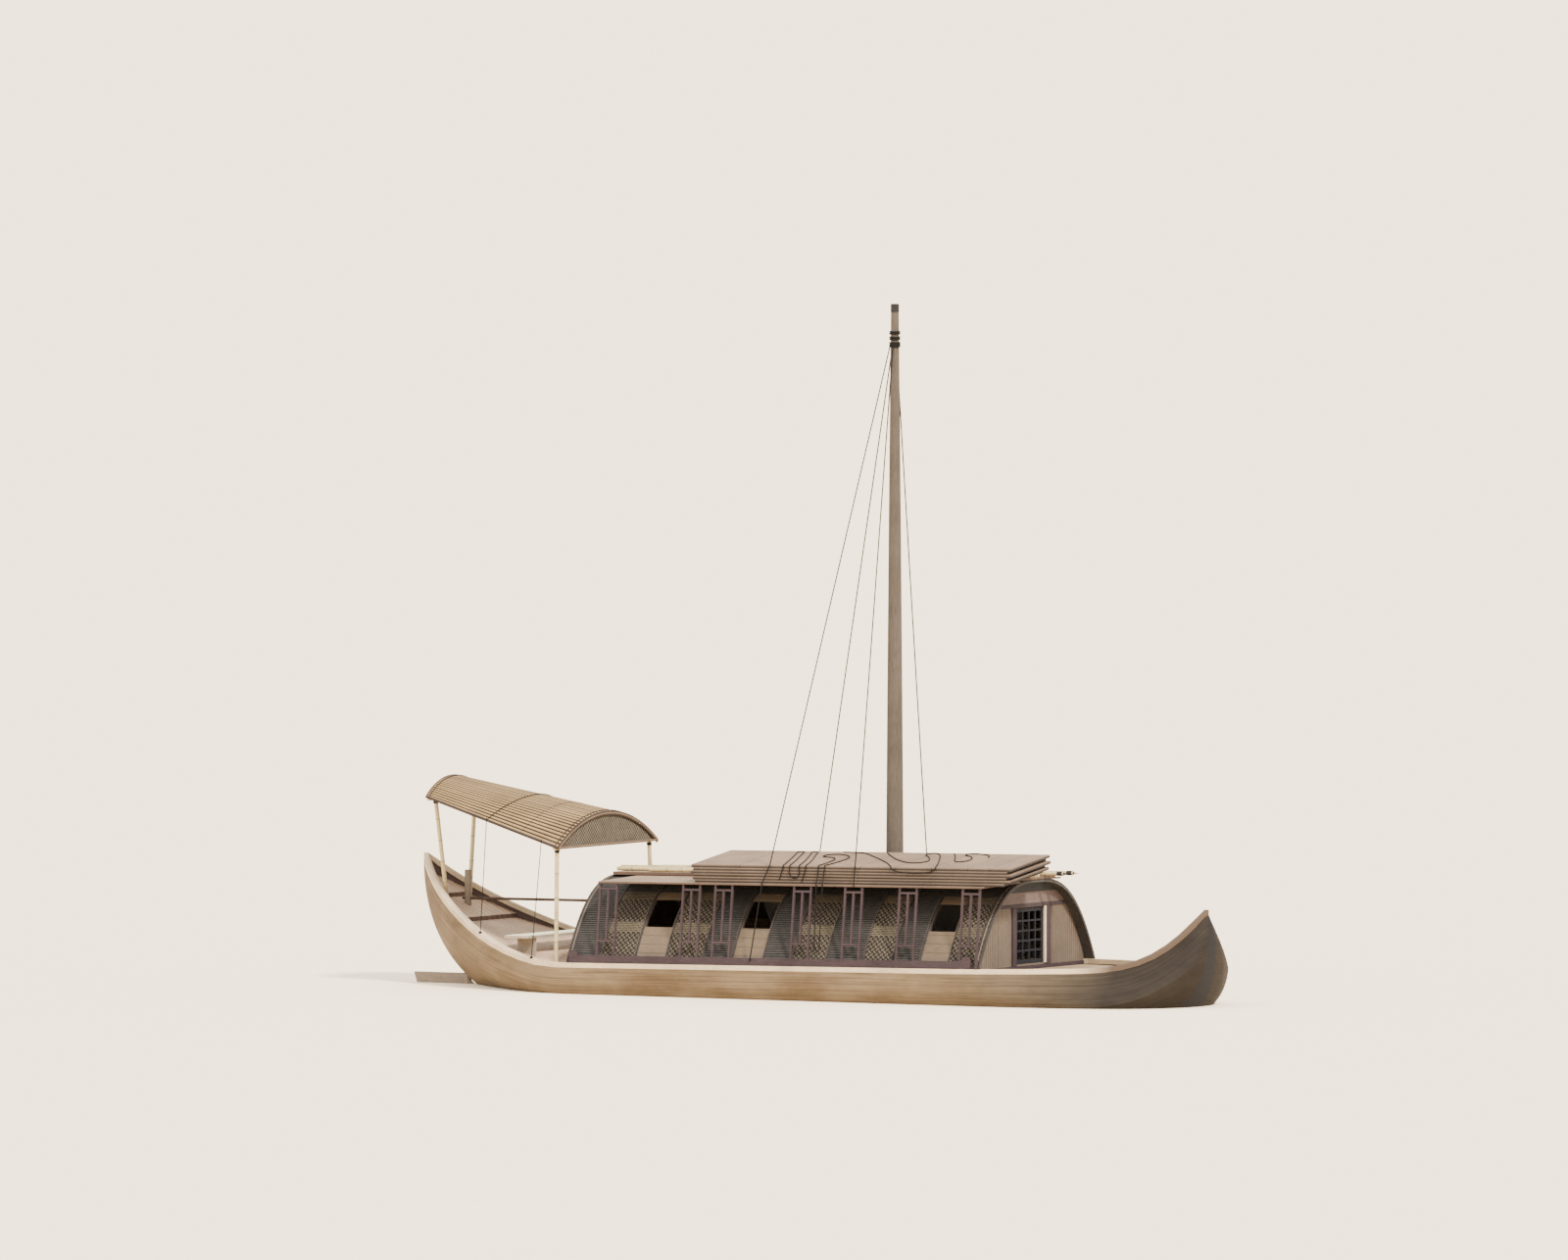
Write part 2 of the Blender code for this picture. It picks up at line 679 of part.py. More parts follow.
def rack_outline(centres, sill_fore, levels):
    """Outer edge of a rack: sill with scrolled ends and the uprights over it."""
    top, upper, lower = levels
    half = FRAME_WIDTH / 2
    outline = [(SILL_AFT, 0.0), (sill_fore, 0.0)]
    for centre in reversed(centres):
        right = centre + half
        left = centre - half
        if centre + half > sill_fore:
            outline += reversed(scroll(sill_fore - SCROLL_REACH, SILL_HEIGHT, 1))
            outline += [(left + RACK_BAR, SILL_HEIGHT), (left + RACK_BAR, lower), (right - RACK_BAR, lower)]
            outline += [(right - RACK_BAR, 0.0), (right, 0.0)]
        else:
            outline.append((right, SILL_HEIGHT))
        outline += [(right, top), (right - RACK_BAR, top), (right - RACK_BAR, upper)]
        outline += [(left + RACK_BAR, upper), (left + RACK_BAR, top), (left, top), (left, SILL_HEIGHT)]
    return outline + scroll(SILL_AFT + SCROLL_REACH, SILL_HEIGHT, -1)


def make_rack(side_name, side):
    """Sill board and its upright frames, leaning in to the eave."""
    foot = DECK_LINE + RACK_THICK / 30
    lean = math.atan2(RACK_FOOT_Y - RACK_HEAD_Y, RACK_TOP_Z - foot)
    levels = [(z - foot) / math.cos(lean) for z in (RACK_TOP_Z, FRAME_UPPER_BAR, FRAME_LOWER_BAR)]
    upper, lower = levels[1:]
    centres, sill_fore = RACK_SIDES[side_name]
    loops = [rack_outline(centres, sill_fore, levels)]
    thin = RACK_BAR / 2
    for centre in centres:
        right = centre + FRAME_WIDTH / 2 - RACK_BAR
        left = centre - FRAME_WIDTH / 2 + RACK_BAR
        middle = (left + right) / 2
        if right < sill_fore:
            loops.append([(left, SILL_HEIGHT), (right, SILL_HEIGHT), (right, lower), (left, lower)])
        low = lower + RACK_BAR
        high = upper - RACK_BAR
        loops.append([(left, low), (middle - thin, low), (middle - thin, high), (left, high)])
        loops.append([(middle + thin, low), (right, low), (right, high), (middle + thin, high)])
    frame = Matrix.Translation((0, side * RACK_FOOT_Y, foot)) @ Matrix.Rotation(side * lean, 4, "X")
    mesh = outline_mesh("rack", loops, RACK_THICK, frame @ Matrix.Rotation(math.pi / 2, 4, "X"))
    add(f"rack_{side_name}", rise_with_sheer(mesh), "frame_wood")


def shelf_line(y):
    """Underside of a roof shelf at a distance from the centreline."""
    outer_z = RACK_TOP_Z + GAP + 0.004
    inner_z = vault_top(SHELF_INNER_Y) + GAP
    return lerp(outer_z, inner_z, (SHELF_OUTER_Y - y) / (SHELF_OUTER_Y - SHELF_INNER_Y))


def vault_top(y):
    """Height of the vault's outside at a distance from the centreline."""
    return DECK_LINE + GAP + VAULT_RISE * (1 - (abs(y) / VAULT_HALF_WIDTH) ** VAULT_POWER)


def make_shelf(side_name, side):
    """Sloping roof shelf from the eave to the ridge board."""
    outer, inner = SHELF_OUTER_Y, SHELF_INNER_Y
    loop = [(side * outer, shelf_line(outer)), (side * inner, shelf_line(inner)),
            (side * inner, shelf_line(inner) + SHELF_THICK), (side * outer, shelf_line(outer) + SHELF_THICK)]
    fore = SHELF_FORE[side_name]
    mesh = outline_mesh("shelf", [loop], fore - SHELF_AFT, cross_frame((fore + SHELF_AFT) / 2))
    add(f"roof_shelf_{side_name}", rise_with_sheer(mesh), "roof_boards")


def ridge_top():
    """Top of the ridge board, where the poles lie."""
    return vault_top(0) + GAP + RIDGE_THICK


def make_ridge():
    """Flat board along the crown, with a round hole for the mast."""
    low = (RIDGE_AFT, -RIDGE_HALF_WIDTH, vault_top(0) + GAP)
    high = (RIDGE_FORE, RIDGE_HALF_WIDTH, ridge_top())
    ridge = add("roof_ridge_board", rise_with_sheer(box_mesh("ridge", low, high)), "roof_boards")
    hole = cylinder_mesh("ridge_hole", (0, 0), 1.8, 2.6, MAST_ROOF_RADIUS + RIDGE_HOLE_PLAY)
    boolean(ridge, cutter("ridge_hole", hole), "DIFFERENCE")


def roof_rise(x):
    """Rise of the house at a place along its length."""
    return SHEER_RISE * x


def make_poles():
    """Bamboo poles along the ridge board, with slightly thicker butts aft."""
    for name, y, aft, fore in POLES:
        z = ridge_top() + POLE_RADIUS * TUBE_FLAT + GAP
        points = [(x, y, z + roof_rise(x)) for x in (aft, (aft + fore) / 2, fore)]
        tube(name, points, POLE_RADIUS, "bamboo")


def stack_slope():
    """Angle of the board stack, from the shelf's edge to the top of the outer pole."""
    near_z = shelf_line(-STACK_OUTER_Y) + SHELF_THICK
    across = POLES[0][1] - STACK_OUTER_Y
    up = ridge_top() + POLE_RADIUS * TUBE_FLAT + GAP - near_z - GAP
    return math.atan2(up, across) + math.asin((POLE_RADIUS + GAP) / math.hypot(across, up)), near_z


def stack_frame(layer):
    """Place of a layer: local X along the boat, local Y up the slope, local Z off its face."""
    slope, near_z = stack_slope()
    lift = layer * (STACK_THICK + GAP)
    place = Matrix.Translation((0, STACK_OUTER_Y, near_z + GAP + lift / math.cos(slope)))
    return place @ Matrix.Rotation(slope, 4, "X")


def make_stack():
    """Loose roof boards, stacked on the starboard shelf with uneven ends."""
    slope = stack_slope()[0]
    width = (STACK_INNER_Y - STACK_OUTER_Y) / math.cos(slope)
    for layer in range(STACK_COUNT):
        aft, fore = STACK_ENDS[layer]
        mesh = box_mesh("board", (aft, 0, 0), (fore, width, STACK_THICK))
        mesh.transform(stack_frame(layer))
        add(f"roof_board_{layer + 1}", rise_with_sheer(mesh), "roof_boards")


def make_mast():
    """Tapered mast on a step block on the cabin floor."""
    step_top = CABIN_FLOOR_Z + GAP + MAST_STEP_HEIGHT
    half_x, half_y = MAST_STEP_HALF
    low = (-half_x, -half_y, CABIN_FLOOR_Z + GAP)
    add("mast_step", box_mesh("mast_step", low, (half_x, half_y, step_top)), "panel_wood")
    rings = []
    for radius, z in ((MAST_FOOT_RADIUS, step_top + GAP), *MAST_TAPER):
        turns = [math.tau * k / MAST_SIDES for k in range(MAST_SIDES)]
        rings.append([(radius * math.cos(turn), radius * math.sin(turn), z) for turn in turns])
    add("mast", loft_mesh("mast", rings), "mast_wood")


def mast_radius(z):
    """Radius of the upper mast at a height."""
    (low_radius, low_z), (high_radius, high_z) = MAST_TAPER[-2:]
    return lerp(low_radius, high_radius, (z - low_z) / (high_z - low_z))


def make_stays():
    """Four standing ropes from the mast's neck to the rack sill and the eaves."""
    edge = STACK_OUTER_Y - 0.03
    slope, near_z = stack_slope()
    top_edge = near_z + STACK_COUNT * (STACK_THICK + GAP) + 0.03
    rack_face = RACK_FOOT_Y + RACK_THICK / 2 + STAY_RADIUS + 0.001
    sill_z = DECK_LINE + SILL_HEIGHT - 0.06
    eave = SHELF_OUTER_Y + STAY_RADIUS + 0.0006
    eave_z = shelf_line(SHELF_OUTER_Y) + 0.01
    turn = eave + 0.006
    turn_z = eave_z + SHELF_THICK
    runs = {
        "stay_starboard_aft": [(-1.50, edge, top_edge - 0.02), (-1.62, -turn, turn_z),
                               (-1.81, -rack_face, sill_z)],
        "stay_starboard_fore": [(0.32, edge, top_edge), (0.33, -turn, turn_z), (0.33, -eave, eave_z)],
        "stay_port_aft": [(-2.88, turn, turn_z), (-2.88, eave, eave_z)],
        "stay_port_fore": [(-0.50, turn, turn_z), (-0.50, eave, eave_z)],
    }
    for name, route in runs.items():
        first = Vector((route[0][0], route[0][1], 0)).normalized() * (mast_radius(STAY_Z) + STAY_RADIUS)
        points = [(first.x, first.y, STAY_Z)]
        points += [(x, y, z + roof_rise(x)) for x, y, z in route]
        tube(name, points, STAY_RADIUS, "rope", 2)


def stack_top(y):
    """Height of the stack's upper face at a distance from the centreline, before the sheer."""
    slope, near_z = stack_slope()
    layers = (STACK_COUNT - 1) * (STACK_THICK + GAP) + STACK_THICK
    return near_z + GAP + layers / math.cos(slope) + (y - STACK_OUTER_Y) * math.tan(slope)


def rope_place(spot):
    """Centre of a roof rope at a spot: (x, y) on the stack, or (x, y, height over its near edge)."""
    if len(spot) == 2:
        x, y = spot
        z = stack_top(y) + ROPE_RADIUS / math.cos(stack_slope()[0]) + GAP
    else:
        x, y, z = spot[0], spot[1], stack_top(STACK_OUTER_Y) + spot[2]
    return Vector((x, y, z + roof_rise(x)))


def stack_edge():
    """Near upper edge of the stack, where a rope bends over it."""
    return STACK_OUTER_Y - STACK_THICK * math.sin(stack_slope()[0])


def over_edge(x, drift, inboard):
    """Spots of a rope that bends over the stack's near edge, from inboard to hanging."""
    edge = stack_edge()
    spots = [(x - drift * inboard, edge + inboard)]
    spots += [(x - drift * max(0.0, reach), edge + reach, height) for reach, height in EDGE_BEND]
    return spots + [(x, edge + EDGE_HANG, -0.06)]


def smooth_line(points, pitch):
    """Points along a Catmull-Rom curve, about one pitch apart."""
    line = []
    extended = [2 * points[0] - points[1]] + points + [2 * points[-1] - points[-2]]
    for a, b, c, d in zip(extended, extended[1:], extended[2:], extended[3:]):
        steps = max(1, round((c - b).length / pitch))
        for k in range(steps):
            s = k / steps
            line.append(0.5 * (2 * b + (c - a) * s + (2 * a - 5 * b + 4 * c - d) * s ** 2
                               + (3 * b - a - 3 * c + d) * s ** 3))
    return line + [points[-1]]


def make_roof_ropes():
    """Loose ropes that lie in loops on the stacked boards, and the ends that hang off them."""
    for name, route in roof_rope_routes().items():
        points = [rope_place(spot) for spot in route]
        tube(name, smooth_line(points, ROPE_PITCH), ROPE_RADIUS, "rope", 2)


def eave_hang(x, drift):
    """Spots of a rope's tail from the stack's face over the eave, down the side of the house."""
    face = stack_edge() + EDGE_HANG
    spots = [(x, face - 0.0135, -0.14), (x, face - 0.0415, -0.24), (x, EAVE_HANG_Y + 0.002, -0.325)]
    depths = (-0.40, -0.60, -1.0, -1.56)
    return spots + [(x + drift * (depth + 0.4), EAVE_HANG_Y, depth) for depth in depths]


def roof_rope_routes():
    """Spots of each loose rope, in order along it."""
    edge = stack_edge()
    face = edge + EDGE_HANG
    fore = [(0.20, -0.62), (0.34, -0.80), (0.72, -1.22), (1.10, -1.52), (1.38, -1.58), (1.50, -1.38),
            (1.34, -1.06), (1.10, -0.76), (1.12, -0.63), (1.26, -0.62), (1.42, -0.80), (1.64, -1.20)]
    fore += over_edge(2.02, 0.45, 0.38)[:-1]
    fore += [(1.97, face, -0.052), (1.88, face, -0.083), (1.72, face, -0.104), (1.56, face, -0.108),
             (1.36, face, -0.098), (1.20, face, -0.076), (1.11, face, -0.049)]
    fore += reversed(over_edge(1.07, 0.80, 0.36)[:-1])
    fore += [(0.42, -1.28), (0.06, -0.95), (-0.20, -0.73), (-0.46, -0.64), (-0.74, -0.62)]
    bow = [(1.62, -0.62), (1.72, -0.76), (1.88, -1.04), (2.02, -1.30), (2.14, -1.42), (2.27, -1.36),
           (2.29, -1.16), (2.16, -0.92), (1.96, -0.78), (1.92, -0.66), (2.04, -0.60), (2.24, -0.64),
           (2.44, -0.76), (2.54, -0.96)]
    aft = [(-1.30, face, -0.27), (-1.28, face, -0.20), (-1.25, face, -0.12)]
    aft += reversed(over_edge(-1.22, 0.33, 0.5))
    aft += [(-1.56, -1.0), (-1.665, -0.70), (-1.60, -0.625), (-1.535, -0.70), (-1.43, -1.0)]
    aft += over_edge(-1.08, 0.33, 0.5)
    aft += [(-1.09, face, -0.13), (-1.06, face, -0.20), (-0.98, face, -0.235), (-0.90, face, -0.20),
            (-0.87, face, -0.13)]
    aft += reversed(over_edge(-0.88, 0.33, 0.5))
    aft += [(-1.24, -1.0), (-1.365, -0.70), (-1.31, -0.63), (-1.24, -0.69), (-1.12, -1.0)]
    aft += over_edge(-0.74, 0.33, 0.5)
    aft += [(-0.76, face, -0.12), (-0.79, face, -0.20), (-0.82, face, -0.30)]
    tail = list(reversed(eave_hang(-0.34, 0.06))) + list(reversed(over_edge(-0.34, -0.12, 0.45)))
    tail += [(-0.30, -1.18), (-0.46, -0.96), (-0.70, -0.86), (-0.90, -0.92), (-0.92, -1.06),
             (-0.80, -1.14), (-0.64, -1.18), (-0.52, -1.32)]
    tail += over_edge(-0.47, 0.0, 0.45) + eave_hang(-0.47, 0.04)
    return {"roof_rope_fore": fore, "roof_rope_bow": bow, "roof_rope_aft": aft, "roof_rope_tail": tail}


def canopy_section(share):
    """Chord height, half width and rise of the canopy, from its fore edge to its aft edge."""
    return [lerp(a, b, share) for a, b in zip(CANOPY_FORE, CANOPY_AFT)]


def canopy_ring(share, skin, segments=CANOPY_SEGMENTS):
    """Arc across the canopy at a share of its length, moved in by a skin thickness."""
    x, chord, half, rise = canopy_section(share)
    radius = (half * half + rise * rise) / (2 * rise)
    centre_z = chord + rise - radius
    reach = math.acos((chord - centre_z) / (radius - skin))
    points = []
    for k in range(segments + 1):
        angle = lerp(reach, -reach, k / segments)
        y = (radius - skin) * math.sin(angle)
        points.append(Vector((x, y, centre_z + (radius - skin) * math.cos(angle))))
    return points


def make_canopy():
    """Arched mat roof of the stern, its woven fore panel and a rim under each end."""
    rings = []
    for share in (0.0, 0.33, 0.67, 1.0):
        outer = canopy_ring(share, 0.0)
        inner = canopy_ring(share, CANOPY_THICK)
        rings.append(outer + list(reversed(inner)))
    add("canopy_mat", loft_mesh("canopy_mat", rings), "canopy_mat")
    half_share = CANOPY_END_DEPTH / 2 / (CANOPY_FORE[0] - CANOPY_AFT[0])
    for name, share in (("canopy_end_panel", 0.012), ("canopy_aft_rim", 0.985)):
        slices = []
        for place in (share - half_share, share + half_share):
            ring = canopy_ring(place, CANOPY_THICK + CANOPY_END_PLAY)
            if name == "canopy_aft_rim":
                ring += list(reversed(canopy_ring(place, CANOPY_THICK + CANOPY_RIM_DEPTH)))
            slices.append(ring)
        add(name, loft_mesh(name, slices), "canopy_mat")


def make_posts():
    """Four bamboo posts and the cross rails that carry the canopy."""
    for end, share, foot_x, foot_y, foot_z, top_y in POSTS:
        x, chord, half, rise = canopy_section(share)
        rail_z = chord - RAIL_RADIUS * 1.04 - GAP
        tube(f"canopy_rail_{end}", [(x, -half, rail_z), (x, half, rail_z)], RAIL_RADIUS, "bamboo")
        lean = (top_y - foot_y) / (rail_z - foot_z)
        top_z = rail_z - RAIL_RADIUS * TUBE_FLAT - POST_RADIUS * abs(lean) - GAP
        for side_name, side in (("starboard", -1), ("port", 1)):
            foot = Vector((foot_x, side * foot_y, foot_z))
            head = Vector((x, side * top_y, top_z))
            if end == "aft":
                below = foot.lerp(head, -SOCKET_SHARE)
                socket = tube_tool(f"post_socket_{side_name}", below, head, POST_RADIUS + 2 * GAP)
                boolean(bpy.data.objects["aft_deck_middle"], socket, "DIFFERENCE")
            tube(f"canopy_post_{end}_{side_name}", [foot, head], POST_RADIUS, "bamboo")


def make_rudder():
    """Rudder blade on its round stock, both on one axis, and the tiller."""
    mesh = outline_mesh("blade", [BLADE], RUDDER_THICK, side_frame(0.0))
    rudder = add("rudder", mesh, "rudder_wood")
    stock = cylinder_mesh("stock", STOCK_PLACE, -0.80, STOCK_HEAD_Z, STOCK_RADIUS, STOCK_SIDES)
    boolean(rudder, cutter("stock", stock), "UNION")
    head = Vector((TILLER_FORE, 0, TILLER_Z + TILLER_RISE))
    heel = Vector((STOCK_X - TILLER_REACH, 0, TILLER_Z))
    socket = tube_tool("tiller_socket", heel.lerp(head, -SOCKET_SHARE), head, TILLER_RADIUS + 2 * GAP)
    boolean(rudder, socket, "DIFFERENCE")
    tube("tiller", [heel, head], TILLER_RADIUS, "mast_wood")


def tube_tool(name, start, end, radius):
    """Round cutter between two points."""
    tube(name, [start, end], radius, "panel_wood")
    mesh = baked(bpy.data.objects[name])
    bpy.data.objects.remove(bpy.data.objects[name], do_unlink=True)
    return cutter(name, mesh)


def make_bench():
    """Helmsman's bench: a plank across the stern on two board legs."""
    half = BENCH_HALF_WIDTH
    low = (BENCH_AFT, -half, BENCH_TOP_Z - BENCH_THICK)
    bench = add("stern_bench", box_mesh("stern_bench", low, (BENCH_FORE, half, BENCH_TOP_Z)), "gunwale_wood")
    aft = BENCH_AFT + BENCH_LEG_INSET
    fore = BENCH_FORE - BENCH_LEG_INSET
    for number, y in enumerate((-BENCH_LEG_Y, BENCH_LEG_Y), 1):
        foot = [(aft, deck_height(aft) + GAP), (fore, deck_height(fore) + GAP)]
        head = [(fore, BENCH_TOP_Z - BENCH_THICK / 2), (aft, BENCH_TOP_Z - BENCH_THICK / 2)]
        leg = outline_mesh("leg", [foot + head], BENCH_THICK, side_frame(y))
        boolean(bench, cutter(f"bench_leg_{number}", leg), "UNION")


def deck_height(x):
    """Top of the lower stern deck at a place along its length."""
    for (fore_x, fore_z), (aft_x, aft_z) in zip(AFT_DECK_LINE, AFT_DECK_LINE[1:]):
        if aft_x <= x <= fore_x:
            return lerp(fore_z, aft_z, (fore_x - x) / (fore_x - aft_x))
    return AFT_DECK_LINE[-1][1]


def main():
    """Build every piece of the boat."""
    clear_scene()
    collection("chinese_river_junk")
    collection("cutters").hide_render = True
    make_hull()
    make_decks()
    make_vault()
    make_front_bulkhead()
    make_front_door()
    make_aft_bulkhead()
    for side_name, side in (("starboard", -1), ("port", 1)):
        make_gunwale(side_name, side)
        make_rack(side_name, side)
        make_shelf(side_name, side)
        for number, (aft, fore) in enumerate(WINDOW_SPANS, 1):
            make_window(number, aft, fore, side_name, side)
    make_ridge()
    make_poles()
    make_stack()
    make_mast()
    make_stays()
    make_roof_ropes()
    make_canopy()
    make_posts()
    make_rudder()
    make_bench()


main()
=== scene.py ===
"""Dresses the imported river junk: finishes, matting, bamboo, planking, ropes, light and camera."""
import math
import random

import bmesh
import bpy
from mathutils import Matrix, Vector


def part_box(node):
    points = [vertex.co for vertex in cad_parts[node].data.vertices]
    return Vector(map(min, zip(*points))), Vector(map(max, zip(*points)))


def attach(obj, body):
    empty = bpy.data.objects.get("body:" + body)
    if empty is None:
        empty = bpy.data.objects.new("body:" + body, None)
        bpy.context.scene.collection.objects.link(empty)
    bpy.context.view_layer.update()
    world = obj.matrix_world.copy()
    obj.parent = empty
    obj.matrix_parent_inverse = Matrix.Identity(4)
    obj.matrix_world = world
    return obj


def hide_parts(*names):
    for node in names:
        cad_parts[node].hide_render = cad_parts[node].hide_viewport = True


# Picture and camera
PIXELS_PER_METRE = 55.0
PICTURE_WIDTH = 1600
AZIMUTH = 30.0
ELEVATION = 2.5
LENS = 800.0
SENSOR = 36.0
AIM = (-2.37, 0.0, 6.754)
FLOOR_HALF = 3000.0

# Values of the model that the pieces here share with it
GAP = 0.0003
SHEER_RISE = 0.012
STERN_TIP = (-10.13, 2.34)
STERN_HEEL = (-7.6, -0.42)
STEM_CURVE = ((5.5, -0.42), (6.85, -0.42), (7.0, 0.9), (6.67, 1.70))
HALF_BEAM = 2.27
RIM_Z = 0.565
KEEL_Z = -0.42
PLANK = 0.055
END_POST = 0.09
STERN_FULLNESS = 4.6
BOW_FULLNESS = 4.0
BOW_POWER_RIM = 1.35
BOW_POWER_FOOT = 2.35
BOW_POWER_SPAN = 0.3
STEM_FACE = 0.64
STERN_SWEEP = 4.05
STERN_ROUND = 0.94
STERN_POWER = 0.8
STERN_BENDS = ((0.87, 1.6), (0.13, 8))
BOW_SWEEP = 2.3
BOW_BEND = 3.8
DECK_LINE = 0.6562
VAULT_AFT = -5.78
VAULT_FORE = 3.04
VAULT_HALF_WIDTH = 2.18
VAULT_RISE = 1.565
VAULT_THICK = 0.05
VAULT_POWER = 3.0
BULKHEAD_FACE = 2.82
STACK_OUTER_Y = -2.0
STACK_THICK = 0.055
CANOPY_FORE = (-6.155, 2.68, 1.84, 0.60)
CANOPY_AFT = (-9.50, 3.52, 0.98, 0.36)
SIDES = (("starboard", -1), ("port", 1))

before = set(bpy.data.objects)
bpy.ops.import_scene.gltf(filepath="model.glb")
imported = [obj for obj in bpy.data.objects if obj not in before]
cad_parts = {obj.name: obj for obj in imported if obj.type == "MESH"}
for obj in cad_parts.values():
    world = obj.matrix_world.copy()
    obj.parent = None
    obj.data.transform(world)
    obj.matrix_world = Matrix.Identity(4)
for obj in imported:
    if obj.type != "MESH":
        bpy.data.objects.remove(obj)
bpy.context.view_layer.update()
rng = random.Random(7)


def lerp(low, high, share):
    """Straight blend of two numbers."""
    return low + (high - low) * share


# Materials

MATTE = 0.15
WHITE = (1.0, 1.0, 1.0)


def new_material(name):
    """Dull material with its node tree and its shader."""
    made = bpy.data.materials.new(name)
    made.use_nodes = True
    tree = made.node_tree
    shader = tree.nodes["Principled BSDF"]
    shader.inputs["Specular IOR Level"].default_value = MATTE
    return made, tree, shader


def node(tree, kind, **values):
    """Add a shader node and set its attributes or, by name, its sockets."""
    made = tree.nodes.new("ShaderNode" + kind)
    for key, value in values.items():
        if isinstance(value, bpy.types.NodeSocket):
            tree.links.new(value, made.inputs[key])
        elif key in made.inputs:
            made.inputs[key].default_value = value
        else:
            setattr(made, key, value)
    return made


def feed(socket, value):
    """Give a socket an output, a number or a colour of three values."""
    if isinstance(value, bpy.types.NodeSocket):
        value.id_data.links.new(value, socket)
    elif isinstance(value, (int, float)):
        socket.default_value = value
    else:
        socket.default_value = (*value, 1.0)


def arithmetic(operation):
    """Function that adds one kind of math node."""
    def added(*values):
        tree = next(value.id_data for value in values if isinstance(value, bpy.types.NodeSocket))
        made = node(tree, "Math", operation=operation)
        for socket, value in zip(made.inputs, values):
            feed(socket, value)
        return made.outputs[0]
    return added


plus, minus, product, quotient = map(arithmetic, ("ADD", "SUBTRACT", "MULTIPLY", "DIVIDE"))
below, above, least, raised = map(arithmetic, ("LESS_THAN", "GREATER_THAN", "MINIMUM", "POWER"))
fraction, whole, unsigned, zigzag = map(arithmetic, ("FRACT", "FLOOR", "ABSOLUTE", "PINGPONG"))


def ramp(value, *stops):
    """Colour ramp over a value."""
    made = node(value.id_data, "ValToRGB")
    while len(made.color_ramp.elements) < len(stops):
        made.color_ramp.elements.new(0.5)
    for element, (place, colour) in zip(made.color_ramp.elements, stops):
        element.position = place
        element.color = (*colour, 1.0)
    feed(made.inputs["Fac"], value)
    return made.outputs["Color"]


def blend_colours(share, first, second, mode="MIX"):
    """Mix two colours by a share; the first one is an output."""
    made = node(first.id_data, "Mix", data_type="RGBA", blend_type=mode)
    for place, value in ((0, share), (6, first), (7, second)):
        feed(made.inputs[place], value)
    return made.outputs[2]


def tinted(share, colour, factors):
    """Colour, multiplied by factors as far as a share says."""
    return blend_colours(share, colour, factors, "MULTIPLY")


def noise(tree, scale, detail=5.0, size=1.0, rough=0.6, source=None):
    """Noise over stretched coordinates, the object's own unless others are given."""
    source = source or node(tree, "TexCoord").outputs["Object"]
    stretched = node(tree, "Mapping", Vector=source, Scale=scale)
    made = node(tree, "TexNoise", Vector=stretched.outputs[0], Scale=size, Detail=detail, Roughness=rough)
    return made.outputs["Fac"]


def split(vector):
    """The three parts of a vector output."""
    return node(vector.id_data, "SeparateXYZ", Vector=vector).outputs


def object_axes(tree):
    """The object's three coordinates, as separate outputs."""
    return split(node(tree, "TexCoord").outputs["Object"])


def attribute(tree, name):
    """Value that the mesh stores on its points."""
    return node(tree, "Attribute", attribute_name=name).outputs["Fac"]


def sheer_level(axes):
    """Height without the boat's rise to the bow."""
    return minus(axes[2], product(axes[0], SHEER_RISE))


def steep(tree, limit):
    """1 where a surface faces up less than a limit, else 0."""
    return below(split(node(tree, "NewGeometry").outputs["True Normal"])[2], limit)


def between(value, low, high):
    """Share of the way from a low value to a high one, held at both ends."""
    return node(value.id_data, "MapRange", Value=value, **{"From Min": low, "From Max": high}).outputs[0]


def coat(shader, colour, rough, height, strength, relief):
    """Give a shader its colour, its roughness and a bump from a height."""
    bump = node(shader.id_data, "Bump", Height=height, Strength=strength, Distance=relief)
    feed(shader.inputs["Normal"], bump.outputs["Normal"])
    feed(shader.inputs["Base Color"], colour)
    feed(shader.inputs["Roughness"], rough)


def wood(name, light, dark, grain=(1.2, 14.0, 14.0), rough=0.7, boards=None, seam=0.012, relief=0.004,
         sides=None, extra=None):
    """Weathered wood, with seams, painted shade on its steep sides or an extra change of colour where
    asked.
    """
    made, tree, shader = new_material(name)
    fibres = noise(tree, grain, 8.0, 6.0, 0.7)
    blotch = noise(tree, (0.9,) * 3, 3.0, 1.6, 0.5)
    fine = noise(tree, tuple(4 * g for g in grain), 4.0, 9.0, 0.7)
    middle = tuple((a + b) / 2 for a, b in zip(light, dark))
    colour = ramp(fibres, (0.28, dark), (0.5, middle), (0.66, light))
    shade = ramp(blotch, (0.3, (0.72, 0.70, 0.68)), (0.7, (1.08, 1.05, 1.02)))
    colour = tinted(0.85, colour, shade)
    streak = ramp(fine, (0.30, (0.70, 0.68, 0.66)), (0.5, WHITE))
    colour = tinted(0.6, colour, streak)
    height = plus(fibres, product(fine, 0.4))
    if boards:
        axis, width = boards
        line = below(fraction(quotient(object_axes(tree)[axis], width)), seam / width)
        colour = blend_colours(line, colour, tuple(0.25 * c for c in dark))
        height = minus(height, product(line, 2.0))
    # Painted shade: faces that face up little are multiplied by the sides colour
    if sides:
        colour = tinted(steep(tree, 0.7), colour, sides)
    if extra:
        colour = extra(tree, colour)
    worn = ramp(fibres, (0.2, (rough + 0.12,) * 3), (0.8, (rough - 0.1,) * 3))
    coat(shader, colour, worn, height, 0.55, relief)
    return made


